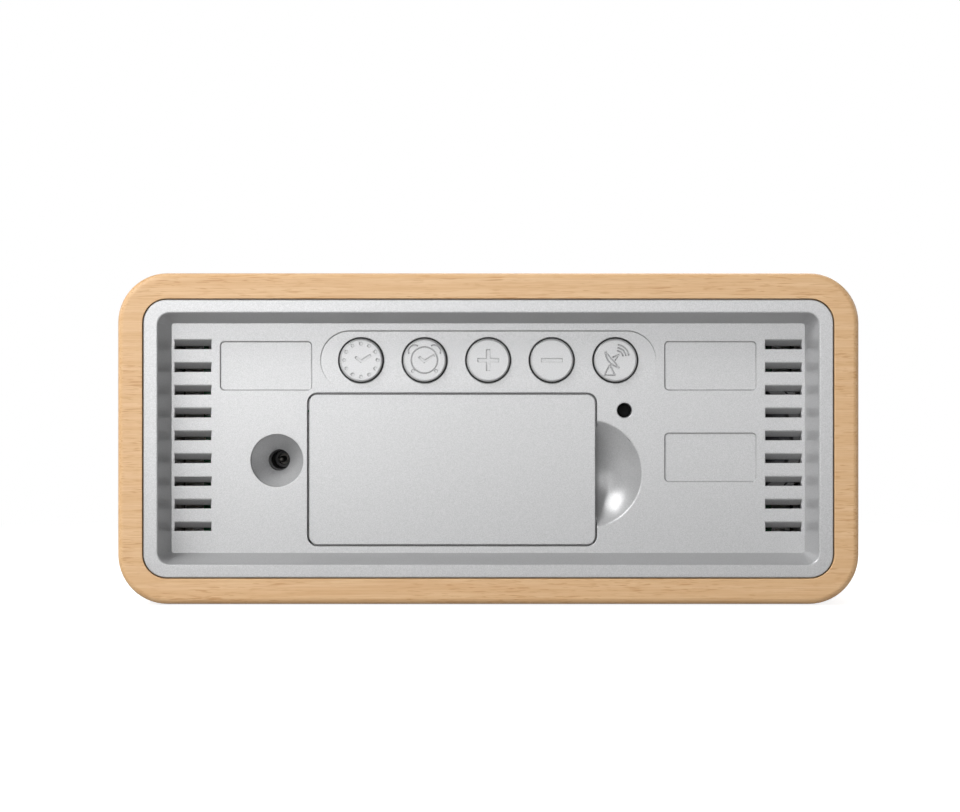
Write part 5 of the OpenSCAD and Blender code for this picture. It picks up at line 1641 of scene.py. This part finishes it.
@dataclass
class Projector:
    """The tilting projector in the top, with its focus ring."""

    cradle_ease: float = 0.3
    drum_ease: float = 0.25
    drum_skin: float = 9.8
    groove_ease: float = 0.1
    groove_floor: float = 9.4
    well_ease: float = 0.15
    well_reach: float = 6.6
    ring_bore: float = 4.1
    notches: int = 24
    notch_depth: float = 0.3

    def drum_widths(self, edges: Edges) -> np.ndarray:
        """Rounds at the drum's ends and round its well.

        Args:
            edges: the drum's edges.

        Returns:
            Each edge's width.
        """
        centre = middle("projector_drum")
        x, y, z = edges.middle.T
        reach = np.hypot(y - centre[1], z - centre[2])
        widths = np.where(reach > self.drum_skin, self.drum_ease, 0.0)
        widths[(reach > self.groove_floor) & edges.run(0)] = self.groove_ease
        well = (np.hypot(x - centre[0], y - centre[1]) < self.well_reach) & (z > centre[2])
        widths[well] = self.well_ease
        return widths

    def ring(self) -> list[Shape]:
        """The focus ring: a section carried round Z, with notches in its upper half.

        The outer radius at angle t is R - n * max(0, cos(k t))^6, where n is the notch's depth and k
        the number of notches.

        Returns:
            Its surface.
        """
        low, high = span("focus_ring")
        outer, base, bore = (high[0] - low[0]) / 2, low[2], self.ring_bore
        centre = middle("focus_ring")
        h = high[2] - low[2]
        section = [(bore, 0.0, 0), (outer - 0.1, 0.0, 0), (outer, 0.1, 0), (outer, h * 0.48, 0),
                   (outer, h * 0.52, 1), (outer, h - 0.35, 1), (outer - 0.12, h - 0.12, 1),
                   (outer - 0.35, h, 1), (bore + 0.9, h - 0.05, 0), (bore + 0.25, h - 0.4, 0),
                   (bore, h - 0.6, 0)]
        t = np.linspace(0, 2 * math.pi, self.notches * 12, endpoint=False)
        notch = self.notch_depth * np.maximum(0, np.cos(self.notches * t)) ** 6
        rings = [np.column_stack([centre[0] + (r - cut * notch) * np.cos(t),
                                  centre[1] + (r - cut * notch) * np.sin(t),
                                  np.full(len(t), base + z)]) for r, z, cut in section]
        return [(np.concatenate(rings), place_grid(len(section), len(t), round_rows=True))]

    def lens(self, node: str, rise: float) -> Shape:
        """A lens with a flat underside and a domed top, turned about Z.

        The dome's height at radius r is (1 - (r / R)^2) times its rise.

        Args:
            node: the frame node.
            rise: the dome's rise.

        Returns:
            Its surface.
        """
        low, high = span(node)
        r, h = (high[0] - low[0]) / 2, high[2] - low[2]
        dome = [[r * k, h - rise * k * k] for k in np.linspace(1, 0, 12)]
        return turned([[0, 0], [r - 0.05, 0], [r, 0.05], *dome], Axis.Z,
                      (middle(node)[0], middle(node)[1], low[2]), 64)

    def make(self) -> None:
        """Makes the projector."""
        top = span("projector_cradle")[1][2]
        eased("projector_frame", "projector_cradle",
              lambda e: np.where(e.middle[:, 2] > top - ON_PLANE, self.cradle_ease, 0.0), SILVER,
              steps=3)
        eased("projector_barrel", "projector_drum", self.drum_widths, SILVER, body="projector")
        build("focus_wheel", self.ring(), BLACK, body="focus", nodes=["focus_ring"])
        build("front_lens", [self.lens("projection_lens", 1.0)], OPTIC, body="focus",
              nodes=["projection_lens"])
        build("inner_lens", [self.lens("condenser_lens", 1.5)], OPTIC, body="projector",
              nodes=["condenser_lens"])
        dress(DISPLAY, "projector_slide")
        dress(LAMP, "projector_led")


@dataclass
class Softbox:
    """A square lamp that faces a point."""

    name: str
    place: Sequence[float]
    target: Sequence[float]
    size: float
    watts: float
    colour: Colour = (1.0, 1.0, 1.0)

    def make(self) -> None:
        """Makes the lamp."""
        lamp = bpy.data.lights.new(self.name, "AREA")
        lamp.shape = "SQUARE"
        lamp.size = self.size * MM
        lamp.energy = self.watts
        lamp.color = self.colour
        item = add_object(self.name, lamp)
        item.location = Vector(self.place) * MM
        ahead = (Vector(self.target) - Vector(self.place)).normalized()
        item.rotation_euler = ahead.to_track_quat("-Z", "Y").to_euler()
        LOG.info("%s: %g W", self.name, self.watts)


@dataclass
class Studio:
    """Floor, surrounding light, lamps and camera."""

    lens: float = 85.0
    sensor: float = 36.0
    eye: Sequence[float] = (1.687, 483.0, 40.4)
    floor_size: float = 6000.0
    fill: float = 0.06
    floor_glow: float = 0.82
    floor_tone: Colour = (0.44, 0.44, 0.44)
    shadow_reach: Sequence[float] = (110.0, 330.0)

    lamps: Sequence[Softbox] = (
        Softbox("slanting_lamp", (444, 433, 560), (0, 25, 34), 370, 4.7),
        Softbox("facing_lamp", (-20, 700, 10), (0, 25, 24), 460, 1.95),
        Softbox("corner_lamp", (240, 660, 120), (0, 25, 34), 400, 1.4),
        Softbox("front_lamp", (-240, -620, 380), (0, -25, 34), 520, 2.4),
        Softbox("top_lamp", (0, -260, 640), (0, 0, 60), 420, 1.5),
        Softbox("left_lamp", (640, -140, 260), (75, 0, 34), 320, 1.0),
        Softbox("right_lamp", (-640, -140, 260), (-75, 0, 34), 320, 1.0),
    )

    def shown_rays(self, g: Graph) -> bpy.types.NodeSocket:
        """One for rays that show the background: camera and transmission rays.

        Args:
            g: the nodes that it joins.

        Returns:
            The share.
        """
        rays = g.node("LightPath")
        return g.sum("MAXIMUM", rays.outputs["Is Camera Ray"], rays.outputs["Is Transmission Ray"])

    def floor(self) -> None:
        """Makes the pale floor, which shows white but for the object's shadow."""
        half = self.floor_size / 2 * MM
        corners = [(sx * half, sy * half, 0.0) for sx, sy in ((-1, -1), (1, -1), (1, 1), (-1, 1))]
        mesh = bpy.data.meshes.new("floor")
        mesh.from_pydata(corners, [], [(0, 1, 2, 3)])
        item = add_object("floor", mesh)
        g = Graph("pale_floor")
        plain = g.node("BsdfDiffuse", {"Color": (*self.floor_tone, 1.0)}).outputs[0]
        glow = g.node("Emission", {"Color": (1, 1, 1, 1), "Strength": self.floor_glow}).outputs[0]
        white = g.node("Emission", {"Color": (1, 1, 1, 1), "Strength": 1.0}).outputs[0]
        near = g.node("AddShader", {0: plain, 1: glow}).outputs[0]
        reach = g.node("VectorMath", {0: g.place}, operation="LENGTH").outputs["Value"]
        far = g.spread(reach, *(r * MM for r in self.shadow_reach))
        both = g.node("MixShader", {0: far, 1: near, 2: white}).outputs[0]
        shown = g.node("MixShader", {0: self.shown_rays(g), 1: plain, 2: both}).outputs[0]
        g.node("OutputMaterial", {"Surface": shown})
        mesh.materials.append(g.material)

    def world(self) -> None:
        """Sets the surrounding light: white where it shows, and a soft fill where it lights."""
        world = bpy.data.worlds.new("studio")
        bpy.context.scene.world = world
        world.use_nodes = True
        tree = world.node_tree
        tree.nodes.clear()
        rays = tree.nodes.new("ShaderNodeLightPath")
        shown = tree.nodes.new("ShaderNodeMath")
        shown.operation = "MAXIMUM"
        tree.links.new(rays.outputs["Is Camera Ray"], shown.inputs[0])
        tree.links.new(rays.outputs["Is Transmission Ray"], shown.inputs[1])
        strength = tree.nodes.new("ShaderNodeMapRange")
        strength.inputs["To Min"].default_value = self.fill
        strength.inputs["To Max"].default_value = 1.0
        tree.links.new(shown.outputs[0], strength.inputs["Value"])
        back = tree.nodes.new("ShaderNodeBackground")
        back.inputs["Color"].default_value = (1, 1, 1, 1)
        tree.links.new(strength.outputs[0], back.inputs["Strength"])
        out = tree.nodes.new("ShaderNodeOutputWorld")
        tree.links.new(back.outputs[0], out.inputs["Surface"])

    def camera(self) -> None:
        """Sets the camera where the photograph was taken from, looking along -Y."""
        data = bpy.data.cameras.new("camera")
        data.lens = self.lens
        data.sensor_width = self.sensor
        data.clip_start, data.clip_end = 10 * MM, 20000 * MM
        item = add_object("camera", data)
        item.matrix_world = (Matrix.Translation(Vector(self.eye) * MM)
                             @ Matrix.Rotation(math.pi, 4, "Z") @ Matrix.Rotation(math.pi / 2, 4, "X"))
        bpy.context.scene.camera = item

    def make(self) -> None:
        """Makes the studio."""
        self.camera()
        self.floor()
        self.world()
        for lamp in self.lamps:
            lamp.make()
        bpy.context.scene.view_settings.view_transform = "Standard"


def main() -> None:
    """Builds the studio and the clock, piece by piece."""
    logging.basicConfig(level=logging.INFO, format="%(name)s %(message)s")
    for part in (Studio(), WoodSleeve(), RearCover(), RearKeys(), Display(), Battery(), Electronics(),
                 SnoozeKey(), Projector()):
        LOG.info("%s", type(part).__name__)
        part.make()


if __name__ == "__main__":
    main()
